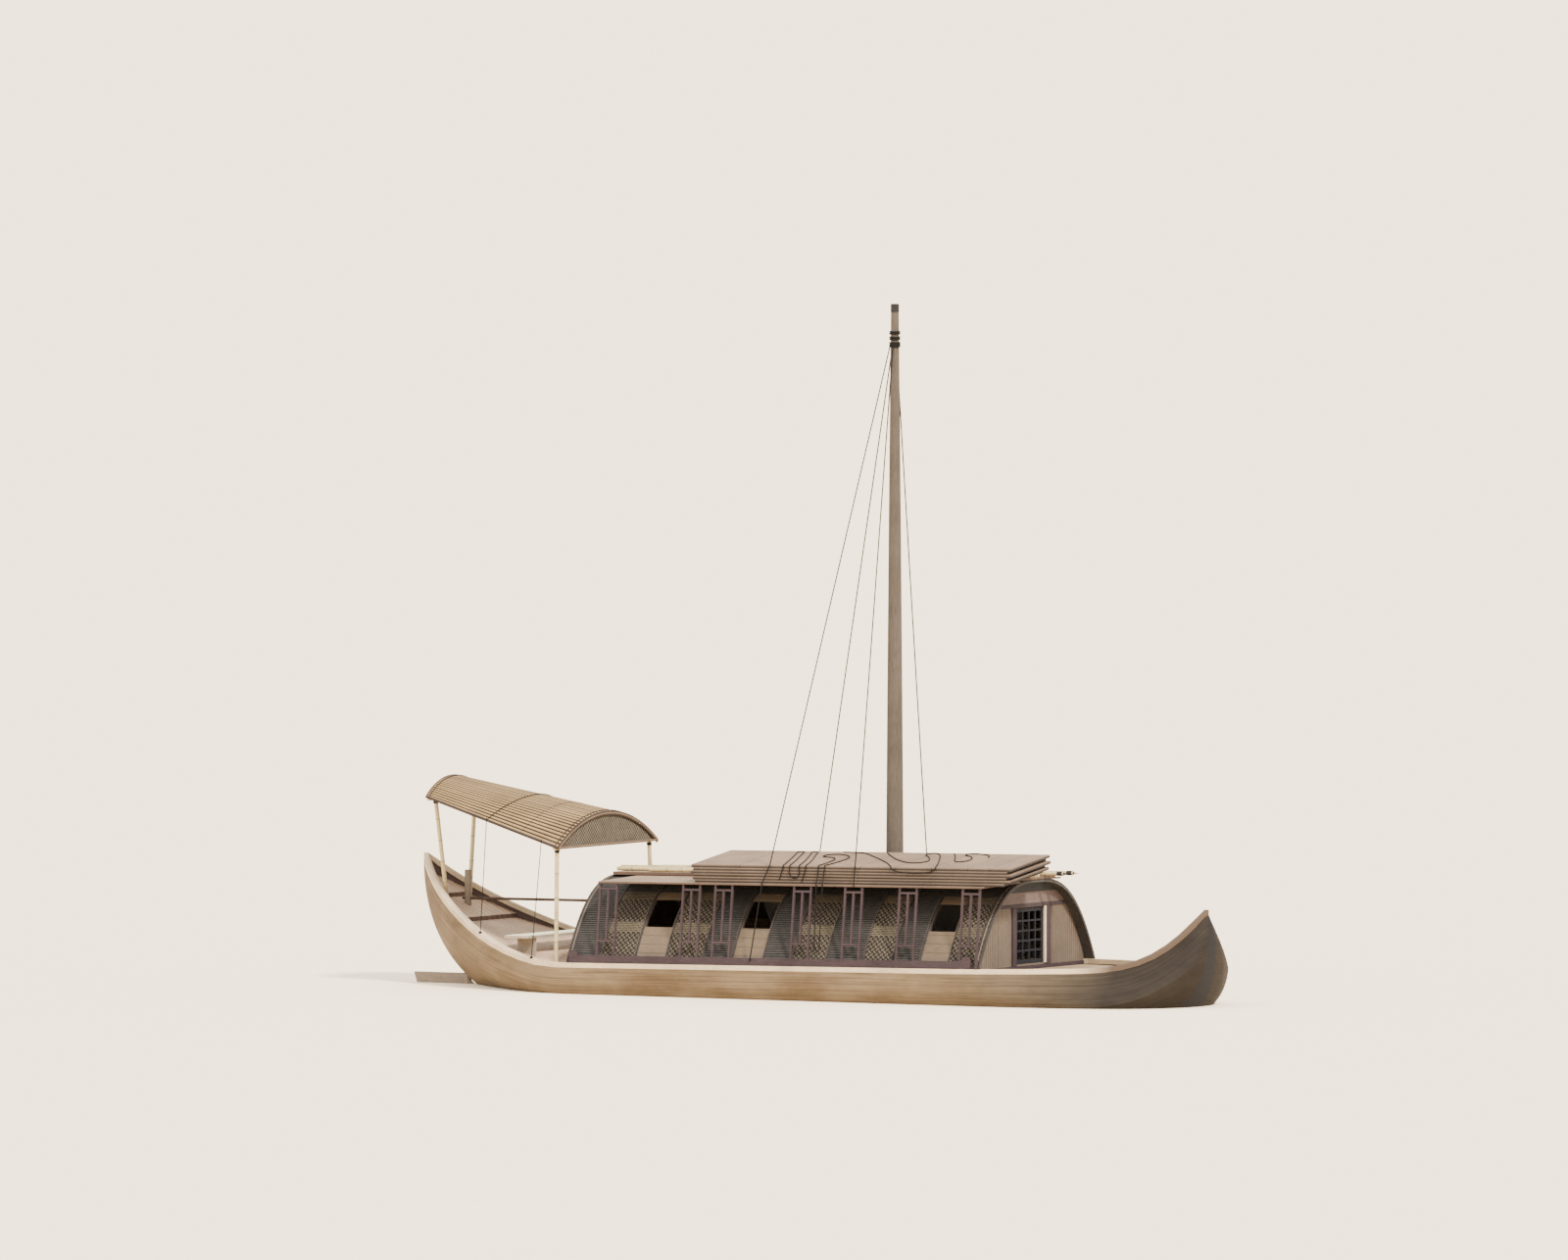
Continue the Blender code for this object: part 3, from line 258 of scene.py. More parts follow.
def bamboo(name, light, dark):
    """Pale cane with a soft gloss, long fibres and stained patches."""
    made, tree, shader = new_material(name)
    fibres = noise(tree, (1.0, 20.0, 20.0), 5.0, 5.0)
    stain = noise(tree, (1.4,) * 3, 3.0, 3.0)
    colour = ramp(fibres, (0.3, tuple(0.86 * c for c in light)), (0.65, light))
    colour = blend_colours(ramp(stain, (0.5, (0.0,) * 3), (0.72, (0.6,) * 3)), colour, dark)
    coat(shader, colour, 0.42, fibres, 0.3, 0.001)
    return made


def rope(name, light, dark):
    """Laid rope: slanting strands and hairy noise."""
    made, tree, shader = new_material(name)
    place = node(tree, "TexCoord").outputs["Object"]
    wave = node(tree, "TexWave", bands_direction="DIAGONAL", Vector=place, Scale=26.0, Distortion=0.6)
    strand = wave.outputs["Fac"]
    hair = ramp(noise(tree, (1, 1, 1), 6.0, 60.0), (0.3, (0.5,) * 3), (0.7, (1.2,) * 3))
    colour = tinted(0.5, ramp(strand, (0.2, dark), (0.8, light)), hair)
    coat(shader, colour, 0.9, strand, 0.7, 0.003)
    return made


def weave(name, light, dark, cell):
    """Plaited matting: over and under checks turned 45 degrees."""
    made, tree, shader = new_material(name)
    flat = node(tree, "UVMap", uv_map="plait").outputs["UV"]
    turned = node(tree, "Mapping", Vector=flat, Rotation=(0, 0, math.radians(45)), Scale=(1 / cell,) * 3)
    checks = node(tree, "TexChecker", Vector=turned.outputs[0], Scale=1.0)
    axes = split(turned.outputs[0])
    mixed = node(tree, "Mix", data_type="FLOAT")
    feed(mixed.inputs[0], checks.outputs["Fac"])
    for place in (0, 1):
        feed(mixed.inputs[2 + place], zigzag(axes[place], 0.5))
    strand = product(mixed.outputs[0], 2.0)
    worn = ramp(noise(tree, (1, 1, 1), 5.0, 5.0), (0.3, (0.65,) * 3), (0.7, (1.15,) * 3))
    colour = ramp(strand, (0.06, tuple(0.4 * c for c in dark)), (0.3, dark), (0.75, light))
    coat(shader, tinted(0.8, colour, worn), 0.85, strand, 0.8, 0.006)
    return made


# Mesh helpers

def add_object(name, data):
    """Object around its data, put in the scene."""
    obj = bpy.data.objects.new(name, data)
    bpy.context.scene.collection.objects.link(obj)
    return obj


def add_mesh(name, bm, finish, smooth=None):
    """Object from a bmesh, smooth below an angle where asked."""
    bmesh.ops.recalc_face_normals(bm, faces=bm.faces)
    mesh = bpy.data.meshes.new(name)
    bm.to_mesh(mesh)
    bm.free()
    mesh.materials.append(finish)
    if smooth is not None:
        mesh.shade_smooth()
        mesh.set_sharp_from_angle(angle=math.radians(smooth))
    return add_object(name, mesh)


def dress(obj, slot, *nodes):
    """Carry a piece on the boat and hide the model pieces that it stands for; the slot is not used."""
    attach(obj, "boat")
    if nodes:
        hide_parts(*nodes)


def add_piece(name, bm, finish, smooth, slot, *nodes):
    """Dressed piece from a bmesh."""
    dress(add_mesh(name, bm, finish, smooth), slot, *nodes)


def loft(bm, rings):
    """Closed skin over rings with equal counts of points; returns the rows of vertices."""
    rows = [[bm.verts.new(point) for point in ring] for ring in rings]
    count = len(rows[0])
    for near, far in zip(rows, rows[1:]):
        for i in range(count):
            j = (i + 1) % count
            bm.faces.new((near[i], near[j], far[j], far[i]))
    bm.faces.new(rows[0])
    bm.faces.new(rows[-1])
    return rows


def crested_loft(bm, rings):
    """Loft with rings of five points that stores how near each vertex lies to the crest."""
    layer = bm.verts.layers.float.get("crest") or bm.verts.layers.float.new("crest")
    for row in loft(bm, rings):
        for vert, crest in zip(row, (0.0, 0.5, 1.0, 0.5, 0.0)):
            vert[layer] = crest


def rod(bm, points, radii, sides=12):
    """Round bar through points, with one radius or a radius at each."""
    if isinstance(radii, float):
        radii = [radii] * len(points)
    rings = []
    for i, point in enumerate(points):
        before = Vector(points[max(0, i - 1)])
        after = Vector(points[min(len(points) - 1, i + 1)])
        along = (after - before).normalized()
        guide = Vector((0, 0, 1)) if abs(along.z) < 0.9 else Vector((1, 0, 0))
        first = along.cross(guide).normalized()
        second = along.cross(first)
        rings.append([Vector(point) + radii[i] * (math.cos(a) * first + math.sin(a) * second)
                      for a in (math.tau * k / sides for k in range(sides))])
    loft(bm, rings)


def rise(x):
    """Rise of the gunwale and house at a place along the boat."""
    return SHEER_RISE * x


def ring_points(centre, radius, count, turns=1, climb=0.0, tilt=0.0):
    """Points round an upright axis, which may climb as they turn or lie tilted."""
    angles = [math.tau * turns * i / count for i in range(count + 1)]
    return [centre + Vector((radius * math.cos(a), radius * math.sin(a), climb * a + tilt * math.sin(a)))
            for a in angles]


# Hull surface, as the model has it

STRAKES = 15.0
STRAKE_SEAM = 0.07
BOW_SHADE = (1.6, 5.4)
FAR_BOW_LIGHT = (5.0, 6.0)
WATER_STAIN = (0.26, -0.02)
LENGTH_STEPS = 220
GIRTH_STEPS = 60
END_CROWDING = 0.65


def hull_point(s, t, inset=0.0):
    """Port side of the hull: s from stern to bow, t from keel to rim."""
    angle = t * math.pi / 2
    stern_x = lerp(STERN_HEEL[0], STERN_TIP[0], math.sin(angle))
    stern_z = lerp(STERN_HEEL[1], STERN_TIP[1], 1 - math.cos(angle) ** STERN_ROUND)
    weights = ((1 - t) ** 3, 3 * t * (1 - t) ** 2, 3 * t * t * (1 - t), t ** 3)
    stem_x = sum(w * p[0] for w, p in zip(weights, STEM_CURVE))
    stem_z = sum(w * p[1] for w, p in zip(weights, STEM_CURVE))
    start = stern_x + END_POST * inset
    end = stem_x - END_POST * inset
    x = lerp(start, end, s)
    half = (HALF_BEAM - PLANK * inset) * math.sin(angle) ** (2 / 3)
    aft = x - start
    fore = end - x
    run = math.sin(math.pi / 2 * min(1.0, max(0.0, aft / STERN_FULLNESS))) ** STERN_POWER
    power = lerp(BOW_POWER_RIM, BOW_POWER_FOOT, min(1.0, (1 - t) / BOW_POWER_SPAN))
    reach = 1 - min(1.0, max(0.0, fore / BOW_FULLNESS))
    entry = max(0.0, 1 - reach ** power) ** (1 / power)
    middle_z = RIM_Z - (RIM_Z - KEEL_Z) * math.cos(angle) ** (2 / 3) + SHEER_RISE * x * t
    back = max(0.0, 1 - aft / STERN_SWEEP)
    front = max(0.0, 1 - fore / BOW_SWEEP)
    sweep_aft = sum(share * back ** bend for share, bend in STERN_BENDS)
    z = middle_z + (stern_z - middle_z) * sweep_aft + (stem_z - middle_z) * front ** BOW_BEND
    return Vector((x, half * run * entry, z + PLANK * inset * (1 - t)))


def hull_station(share):
    """Even share of the length, drawn closer together at the ends."""
    return lerp(share, 0.5 * (1 - math.cos(math.pi * share)), END_CROWDING)


def hull_finish():
    """Planking: strake seams along the girth, long grain, water stain, painted shade towards the bow and on
    the stem face, nearly black on its near half, and painted light on the far side of the bow.
    """
    made, tree, shader = new_material("hull_planks")
    girth = attribute(tree, "girth")
    joined = node(tree, "CombineXYZ", X=attribute(tree, "run"), Y=girth)
    fibres = noise(tree, (9.0, 90.0, 1.0), 8.0, 1.0, 0.65, joined.outputs[0])
    fine = noise(tree, (30.0, 420.0, 1.0), 5.0, 1.0, 0.65, joined.outputs[0])
    blotch = noise(tree, (0.7, 0.7, 1.4), 4.0, 1.1)
    colour = ramp(fibres, (0.25, (0.095, 0.060, 0.032)), (0.48, (0.167, 0.116, 0.063)),
                  (0.68, (0.221, 0.164, 0.093)))
    dirt = ramp(blotch, (0.34, (0.62, 0.56, 0.50)), (0.58, WHITE), (0.75, (1.12, 1.08, 1.02)))
    colour = tinted(0.9, colour, dirt)
    streak = ramp(fine, (0.32, (0.62, 0.58, 0.54)), (0.48, WHITE))
    colour = tinted(0.7, colour, streak)
    strake = product(girth, STRAKES)
    seam = below(fraction(strake), STRAKE_SEAM)
    own = node(tree, "TexWhiteNoise", noise_dimensions="1D", W=whole(strake))
    tone = ramp(own.outputs["Value"], (0.0, (0.90, 0.89, 0.88)), (1.0, (1.04, 1.02, 1.0)))
    colour = tinted(1.0, colour, tone)
    colour = blend_colours(product(seam, 0.5), colour, (0.07, 0.045, 0.03))
    axes = object_axes(tree)
    # Painted shade darkens the hull towards the bow
    bow = product(between(axes[0], *BOW_SHADE), 0.97)
    colour = tinted(bow, colour, (0.10, 0.11, 0.13))
    low = plus(axes[2], product(blotch, 0.12))
    colour = tinted(product(between(low, *WATER_STAIN), 0.5), colour, (0.55,) * 3)
    # Painted shade darkens the stem face, nearly black on its near half
    head = STEM_CURVE[3][1]
    edge = least(product(minus(head, axes[2]), STEM_FACE / head), STEM_FACE)
    face = product(below(unsigned(axes[1]), edge), above(axes[0], BOW_SHADE[1]))
    colour = tinted(product(face, 0.8), colour, (0.62, 0.64, 0.68))
    near_stem_shade = product(face, below(axes[1], 0.0))
    colour = blend_colours(product(near_stem_shade, 0.88), colour, (0.012, 0.0105, 0.010))
    # Painted light brightens the far side of the bow
    far = product(above(axes[1], 0.0), between(axes[0], *FAR_BOW_LIGHT))
    colour = tinted(far, colour, (1.5, 1.38, 1.25))
    inside = product(attribute(tree, "inside"), 0.8)
    colour = blend_colours(inside, colour, (0.085, 0.055, 0.05))
    height = minus(plus(fibres, product(fine, 0.5)), product(seam, 2.5))
    coat(shader, colour, 0.74, height, 0.6, 0.005)
    return made


def make_hull_skin():
    """Planked hull, finer than the model's shell, with its girth and length on each point."""
    bm = bmesh.new()
    layers = {name: bm.verts.layers.float.new(name) for name in ("girth", "run", "inside")}

    def point_rows(inset):
        rows = []
        for i in range(LENGTH_STEPS + 1):
            s = hull_station(i / LENGTH_STEPS)
            row = []
            for k in range(-GIRTH_STEPS, GIRTH_STEPS + 1):
                t = abs(k) / GIRTH_STEPS
                place = hull_point(s, t, inset)
                place.y = math.copysign(place.y, k) if k else 0.0
                if i in (0, LENGTH_STEPS):
                    place.y = 0.0
                vert = bm.verts.new(place)
                vert[layers["girth"]] = t
                vert[layers["run"]] = s
                vert[layers["inside"]] = inset
                row.append(vert)
            rows.append(row)
        return rows

    outer = point_rows(0.0)
    inner = point_rows(1.0)
    for rows in (outer, inner):
        for near, far in zip(rows, rows[1:]):
            for k in range(2 * GIRTH_STEPS):
                bm.faces.new((near[k], near[k + 1], far[k + 1], far[k]))
    for near, far, near_in, far_in in zip(outer, outer[1:], inner, inner[1:]):
        for k in (0, -1):
            bm.faces.new((near[k], far[k], far_in[k], near_in[k]))
    bmesh.ops.remove_doubles(bm, verts=bm.verts, dist=0.00005)
    bmesh.ops.dissolve_degenerate(bm, edges=bm.edges, dist=0.00002)
    add_piece("hull_skin", bm, hull_finish(), 40, "hull_planking", "hull")


# Finishes

ACROSS = (14.0, 1.2, 14.0)
UPRIGHT = (14.0, 14.0, 1.2)
SPLIT_FINE = (1.0, 22.0, 22.0)
BROWN_BOW = (4.7, 5.3)
WINDOW_LIGHT = (1.325, 1.795)
MAT_END = 2.76
STACK_FOOT_Z = 2.1718
STACK_TILT = 0.1378
STACK_PITCH = 0.05582


def brown_forward(tree, colour):
    """The pale cap turns to the hull's brown at the bow."""
    bow = between(object_axes(tree)[0], *BROWN_BOW)
    return blend_colours(bow, colour, (0.085, 0.055, 0.034))


def dark_jambs(tree, colour):
    """The narrow uprights beside a window's light are dark."""
    level = sheer_level(object_axes(tree))
    light = product(above(level, WINDOW_LIGHT[0]), below(level, WINDOW_LIGHT[1]))
    return blend_colours(product(light, 0.85), colour, (0.022, 0.017, 0.014))


def vault_inner_painted_light(tree, colour):
    """Painted light: the inner side of the mat vault is made paler than its outside."""
    axes = object_axes(tree)
    up = quotient(minus(sheer_level(axes), DECK_LINE), VAULT_RISE - VAULT_THICK / 2)
    spread = quotient(unsigned(axes[1]), VAULT_HALF_WIDTH - VAULT_THICK / 2)
    reach = plus(up, raised(spread, VAULT_POWER))
    within = product(below(reach, 1.0), below(axes[0], MAT_END))
    return blend_colours(within, colour, (0.24, 0.24, 0.23))


def banded(*stops):
    """Function that paints shade and light on a strip from its edges to its crest."""
    def shaded(tree, colour):
        return tinted(1.0, colour, ramp(attribute(tree, "crest"), *stops))
    return shaded


def stack_edge_light_and_shade(tree, colour):
    """Edges of the stacked boards: a painted highlight on the upper arris over a mauve face in painted
    shade, and a dark joint.
    """
    axes = object_axes(tree)
    slope = product(minus(axes[1], STACK_OUTER_Y), STACK_TILT)
    height = minus(minus(sheer_level(axes), slope), STACK_FOOT_Z)
    share = fraction(quotient(height, STACK_PITCH))
    band = ramp(share, (0.0, (0.05, 0.05, 0.06)), (0.14, (0.17, 0.19, 0.26)),
                (0.58, (0.22, 0.24, 0.32)), (0.68, (0.62, 0.66, 0.72)), (0.97, (0.70, 0.74, 0.80)))
    return tinted(steep(tree, 0.9), colour, band)


# Painted shade darkens a cane where it meets the next one and a painted highlight runs along its crest; a
# roof strip has painted shade along its edges and a lighter middle
CREST_HIGHLIGHT_SHADE = banded((0.0, (0.22,) * 3), (0.55, (0.50,) * 3), (0.9, (2.7, 2.5, 2.2)))
STRIP_EDGE_SHADE = banded((0.0, (0.10, 0.09, 0.08)), (0.45, (0.55, 0.52, 0.48)), (0.75, (1.25, 1.25, 1.22)))

PALE_CREAM = wood("pale_cream", (0.68, 0.54, 0.35), (0.46, 0.35, 0.21), relief=0.002, extra=brown_forward)
# The sides colours of the deck, board and bench finishes are painted shade on their steep faces
DECK_TAN = wood("deck_tan", (0.705, 0.5, 0.312), (0.392, 0.27, 0.174), boards=(1, 0.19),
                sides=(0.22, 0.19, 0.20))
FORE_TAN = wood("fore_tan", (0.397, 0.287, 0.174), (0.243, 0.172, 0.102), boards=(1, 0.30))
FRAME_MAUVE = wood("frame_mauve", (0.0548, 0.036, 0.0371), (0.0253, 0.0166, 0.0182))
WINDOW_TAN = wood("window_tan", (0.144, 0.108, 0.0695), (0.0876, 0.0621, 0.0386), boards=(2, 0.16),
                  seam=0.005, extra=dark_jambs)
PANEL_TAN = wood("panel_tan", (0.168, 0.129, 0.093), (0.102, 0.074, 0.0503), UPRIGHT,
                 boards=(1, 0.078), seam=0.013)
BOARD_TAN = wood("board_tan", (0.299, 0.215, 0.134), (0.186, 0.126, 0.0781), ACROSS,
                 sides=(0.42, 0.38, 0.42))
BENCH_TAN = wood("bench_tan", (0.95, 0.95, 0.641), (0.678, 0.607, 0.392), ACROSS,
                 sides=(0.42, 0.36, 0.38))
STACK_TAN = wood("stack_tan", (0.253, 0.175, 0.107), (0.147, 0.096, 0.059), ACROSS, extra=stack_edge_light_and_shade)
MAST_TAN = wood("mast_tan", (0.0979, 0.0801, 0.0595), (0.0539, 0.0413, 0.0296), (14.0, 14.0, 0.8))
RUDDER_TAN = wood("rudder_tan", (0.277, 0.222, 0.158), (0.143, 0.111, 0.079), (1.4, 14.0, 14.0))
TILLER_BROWN = wood("tiller_brown", (0.0938, 0.057, 0.0369), (0.0402, 0.0248, 0.0174))
LATTICE_DARK = wood("lattice_dark", (0.0156, 0.0148, 0.018), (0.00624, 0.0057, 0.0072))
SLAT_DARK = wood("slat_dark", (0.0459, 0.0451, 0.043), (0.0165, 0.0168, 0.0168))
VAULT_SKIN = wood("vault_skin", (0.0845, 0.0756, 0.0675), (0.0364, 0.0338, 0.0311), extra=vault_inner_painted_light)
OLIVE_SLAT = wood("olive_slat", (0.0706, 0.0638, 0.0435), (0.0283, 0.0249, 0.0175), extra=CREST_HIGHLIGHT_SHADE)
SLAT_LINED = wood("slat_lined", (0.032, 0.0309, 0.0286), (0.0128, 0.0129, 0.0125), extra=CREST_HIGHLIGHT_SHADE)
RIB_DARK = wood("rib_dark", (0.0482, 0.0376, 0.0313), (0.0176, 0.0143, 0.013))
RIB_PALE = wood("rib_pale", (0.181, 0.147, 0.104), (0.101, 0.0804, 0.057))
CANE = bamboo("cane", (0.49, 0.381, 0.189), (0.231, 0.15, 0.0629))
CANE_NODE = wood("cane_node", (0.0737, 0.0442, 0.0268), (0.0301, 0.0188, 0.0127))
MAT_OLIVE = weave("mat_olive", (0.0945, 0.0749, 0.0491), (0.0106, 0.00899, 0.00792), 0.075)
MAT_CANOPY = weave("mat_canopy", (0.165, 0.131, 0.086), (0.022, 0.017, 0.012), 0.06)
CANOPY_STRAW = wood("canopy_straw", (0.306, 0.211, 0.099), (0.174, 0.112, 0.0511), SPLIT_FINE,
                    extra=STRIP_EDGE_SHADE)
RIM_BROWN = wood("rim_brown", (0.057, 0.0369, 0.0255), (0.0214, 0.0147, 0.0114))
RIM_TAN = wood("rim_tan", (0.188, 0.127, 0.0738), (0.0994, 0.0636, 0.0369))
TRANSOM_MAUVE = wood("transom_mauve", (0.146, 0.106, 0.0875), (0.0868, 0.0599, 0.0509), ACROSS)
CANOPY_BASE = wood("canopy_base", (0.045, 0.0288, 0.018), (0.0192, 0.0126, 0.009), SPLIT_FINE)
ROPE_DARK = rope("rope_dark", (0.013, 0.011, 0.009), (0.004, 0.0034, 0.003))
IRON = wood("iron_tip", (0.0235, 0.0208, 0.0208), (0.00804, 0.00804, 0.00871), rough=0.5)

# Finish of every node whose name holds a word; the first that fits counts
NODE_FINISHES = (
    (DECK_TAN, "hull"), (PALE_CREAM, "gunwale"), (FORE_TAN, "foredeck"), (DECK_TAN, "aft_deck cabin_floor"),
    (VAULT_SKIN, "cabin_vault"), (WINDOW_TAN, "window"), (PANEL_TAN, "bulkhead mast_step"),
    (LATTICE_DARK, "front_door"), (FRAME_MAUVE, "rack"), (BOARD_TAN, "shelf ridge"),
    (CANE, "pole canopy_post canopy_rail"), (STACK_TAN, "roof_board"), (MAST_TAN, "mast"),
    (ROPE_DARK, "stay roof_rope"), (CANOPY_BASE, "canopy"), (RUDDER_TAN, "rudder"),
    (TILLER_BROWN, "tiller"), (BENCH_TAN, "bench"),
)


def finish_nodes():
    """Give every node of the model the finish that its name calls for."""
    for name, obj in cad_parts.items():
        chosen = next(finish for finish, words in NODE_FINISHES if any(w in name for w in words.split()))
        obj.data.materials.clear()
        obj.data.materials.append(chosen)


# House walls

PANELS = (
    ("slats", -5.77, -5.05), ("mat", -5.05, -4.31), ("mat", -3.69, -2.885), ("slats", -2.885, -2.24),
    ("slats", -1.61, -0.96), ("mat", -0.96, -0.25), ("slats", -0.25, 0.55), ("mat", 0.55, 1.155),
    ("slats", 1.155, 1.76), ("mat", 2.34, 3.02),
)
RIB_PLACES = (-5.05, -4.33, -3.67, -2.885, -2.26, -1.59, -0.96, -0.25, 0.55, 1.155, 1.74, 2.36)
WALL_FOOT = 0.70
WALL_HEAD = 1.935
EAVE_HEAD = 2.085
SLAT_PITCH = 0.047
SLAT_PROUD = 0.009
OLIVE_BANDS = ((1.80, WALL_HEAD), (1.22, 1.40))
OLIVE_PITCH = 0.034
OLIVE_PROUD = 0.011
MAT_THICK = 0.006
MAT_PITCH = 0.06
RIB_RADIUS = 0.014
RIB_STEPS = 26
RIB_EDGE = (0.018, 0.009, 0.0045)
ARCH_LINES = (("dark", 0.0, -0.012, 0.026), ("pale", 0.05, 0.004, 0.012), ("dark", 0.085, 0.006, 0.016))
ARCH_INSET = 0.022
ARCH_STEPS = 72
WALL_SAMPLES = 200


def wall_point(phi, x, proud=0.0, side=-1):
    """Outside of the vault at an angle up from the foot of one side."""
    y = side * math.cos(phi) * (VAULT_HALF_WIDTH + proud)
    z = DECK_LINE + GAP + (VAULT_RISE + proud) * (1 - abs(math.cos(phi)) ** VAULT_POWER) + rise(x)
    return Vector((x, y, z))


def wall_angle(height):
    """Angle up the vault at which it has a height, read before the sheer."""
    share = (height - DECK_LINE - GAP) / VAULT_RISE
    return math.acos((1 - share) ** (1 / VAULT_POWER))


def wall_steps(low, high, pitch):
    """Angles that split the wall between two heights into even lengths of its curve."""
    first, last = wall_angle(low), wall_angle(high)
    samples = [lerp(first, last, i / WALL_SAMPLES) for i in range(WALL_SAMPLES + 1)]
    lengths = [0.0]
    for a, b in zip(samples, samples[1:]):
        lengths.append(lengths[-1] + (wall_point(b, 0) - wall_point(a, 0)).length)
    count = max(1, round(lengths[-1] / pitch))
    targets = [lengths[-1] * k / count for k in range(count + 1)]
    return [next(phi for phi, length in zip(samples, lengths) if length >= target - 1e-9)
            for target in targets]


def add_slats(bm, x_low, x_high, low, high, side, pitch=SLAT_PITCH, proud=SLAT_PROUD):
    """Row of split canes laid along the wall, one above the other."""
    steps = wall_steps(low, high, pitch)
    for a, b in zip(steps, steps[1:]):
        ends = (x_low + rng.uniform(0, 0.012), x_high - rng.uniform(0, 0.012))
        height = proud * rng.uniform(0.8, 1.1)
        profile = ((0.04, 0.0005), (0.16, height * 0.8), (0.5, height), (0.84, height * 0.8),
                   (0.96, 0.0005))
        rings = [[wall_point(lerp(a, b, share), x, out, side) for share, out in profile] for x in ends]
        crested_loft(bm, rings)


def add_mat(bm, x_low, x_high, low, high, side):
    """Sheet of plaited matting against the wall, with its flat coordinates for the weave."""
    layer = bm.loops.layers.uv.get("plait") or bm.loops.layers.uv.new("plait")
    steps = wall_steps(low, high, MAT_PITCH)
    across = [lerp(x_low, x_high, i / 8) for i in range(9)]
    run = 0.0
    previous = None
    for phi in steps:
        row = []
        for x in across:
            wave = 0.0015 * math.sin(9 * x + 5 * phi)
            row.append(bm.verts.new(wall_point(phi, x, MAT_THICK + wave, side)))
        if previous:
            step = (row[0].co - previous[0].co).length
            for i in range(8):
                corners = (previous[i], previous[i + 1], row[i + 1], row[i])
                face = bm.faces.new(corners if side < 0 else corners[::-1])
                places = {previous[i]: (across[i], run), previous[i + 1]: (across[i + 1], run),
                          row[i + 1]: (across[i + 1], run + step), row[i]: (across[i], run + step)}
                for corner in face.loops:
                    corner[layer].uv = places[corner.vert]
            run += step
        previous = row


def make_walls():
    """Slatted and plaited panels between bent ribs, on both sides of the house."""
    for label, side in SIDES:
        slats, olive_slats, mats, ribs, pale = (bmesh.new() for _ in range(5))
        for kind, x_low, x_high in PANELS:
            if kind == "slats":
                add_slats(slats, x_low, x_high, WALL_FOOT, WALL_HEAD, side)
            else:
                add_mat(mats, x_low, x_high, WALL_FOOT, WALL_HEAD, side)
                for low, high in OLIVE_BANDS:
                    add_slats(olive_slats, x_low, x_high, low, high, side, OLIVE_PITCH, OLIVE_PROUD)
        add_slats(slats, VAULT_AFT + 0.02, VAULT_FORE - 0.02, WALL_HEAD, EAVE_HEAD, side)
        ends = (wall_angle(WALL_FOOT - 0.02), wall_angle(EAVE_HEAD))
        angles = [lerp(*ends, i / RIB_STEPS) for i in range(RIB_STEPS + 1)]
        aft, proud, radius = RIB_EDGE
        for x in RIB_PLACES:
            rod(ribs, [wall_point(a, x, RIB_RADIUS * 0.7, side) for a in angles], RIB_RADIUS, 8)
            rod(pale, [wall_point(a, x - aft, proud, side) for a in angles[:-3]], radius, 6)
        add_piece("wall_slats_" + label, slats, SLAT_LINED, 40, "mat")
        add_piece("wall_mat_slats_" + label, olive_slats, OLIVE_SLAT, 40, "mat")
        add_piece("wall_mats_" + label, mats, MAT_OLIVE, 60, "mat")
        add_piece("wall_ribs_" + label, ribs, RIB_DARK, 60, "dark_lattice")
        add_piece("wall_rib_edges_" + label, pale, RIB_PALE, 60, "mat")


def make_arch_rims():
    """Bound edges of the house roof at its two open ends."""
    groups = {"dark": bmesh.new(), "pale": bmesh.new()}
    foot = wall_angle(WALL_FOOT - 0.03)
    angles = [foot + (math.pi - 2 * foot) * i / ARCH_STEPS for i in range(ARCH_STEPS + 1)]
    for edge, inward in ((VAULT_FORE - ARCH_INSET, -1), (VAULT_AFT + ARCH_INSET, 1)):
        for group, inset, proud, radius in ARCH_LINES:
            points = []
            for a in angles:
                side = -1 if a <= math.pi / 2 else 1
                points.append(wall_point(min(a, math.pi - a), edge + inward * inset, proud, side))
            rod(groups[group], points, radius, 10)
    add_piece("arch_rims", groups["dark"], RIB_DARK, 60, "dark_lattice")
    add_piece("arch_rim_edges", groups["pale"], RIB_PALE, 60, "mat")


# Roof

STACK_SEAMS = (-2.17, -1.24, -0.42, 0.40, 1.16, 1.93, 2.69, 3.17)
BOARD_WIDTH = 0.62
BOARD_EASE = 0.004
SEAM_SLACK = 0.05
STACK_GAP = 0.012
SHELF_GAP = 0.006
NODE_SHAPE = ((-2, 0.93), (-1, 0.96), (0, 1.0), (1, 0.96), (2, 0.93))
NODE_HALF = 0.012
CANE_END = 0.94
POLE_RADIUS = 0.042
IRON_TIPPED = (3, 5)
IRON_SHAPE = ((-0.13, 0.04368), (-0.03, 0.04368), (0.004, 0.0252), (0.02, 0.012), (0.12, 0.003))


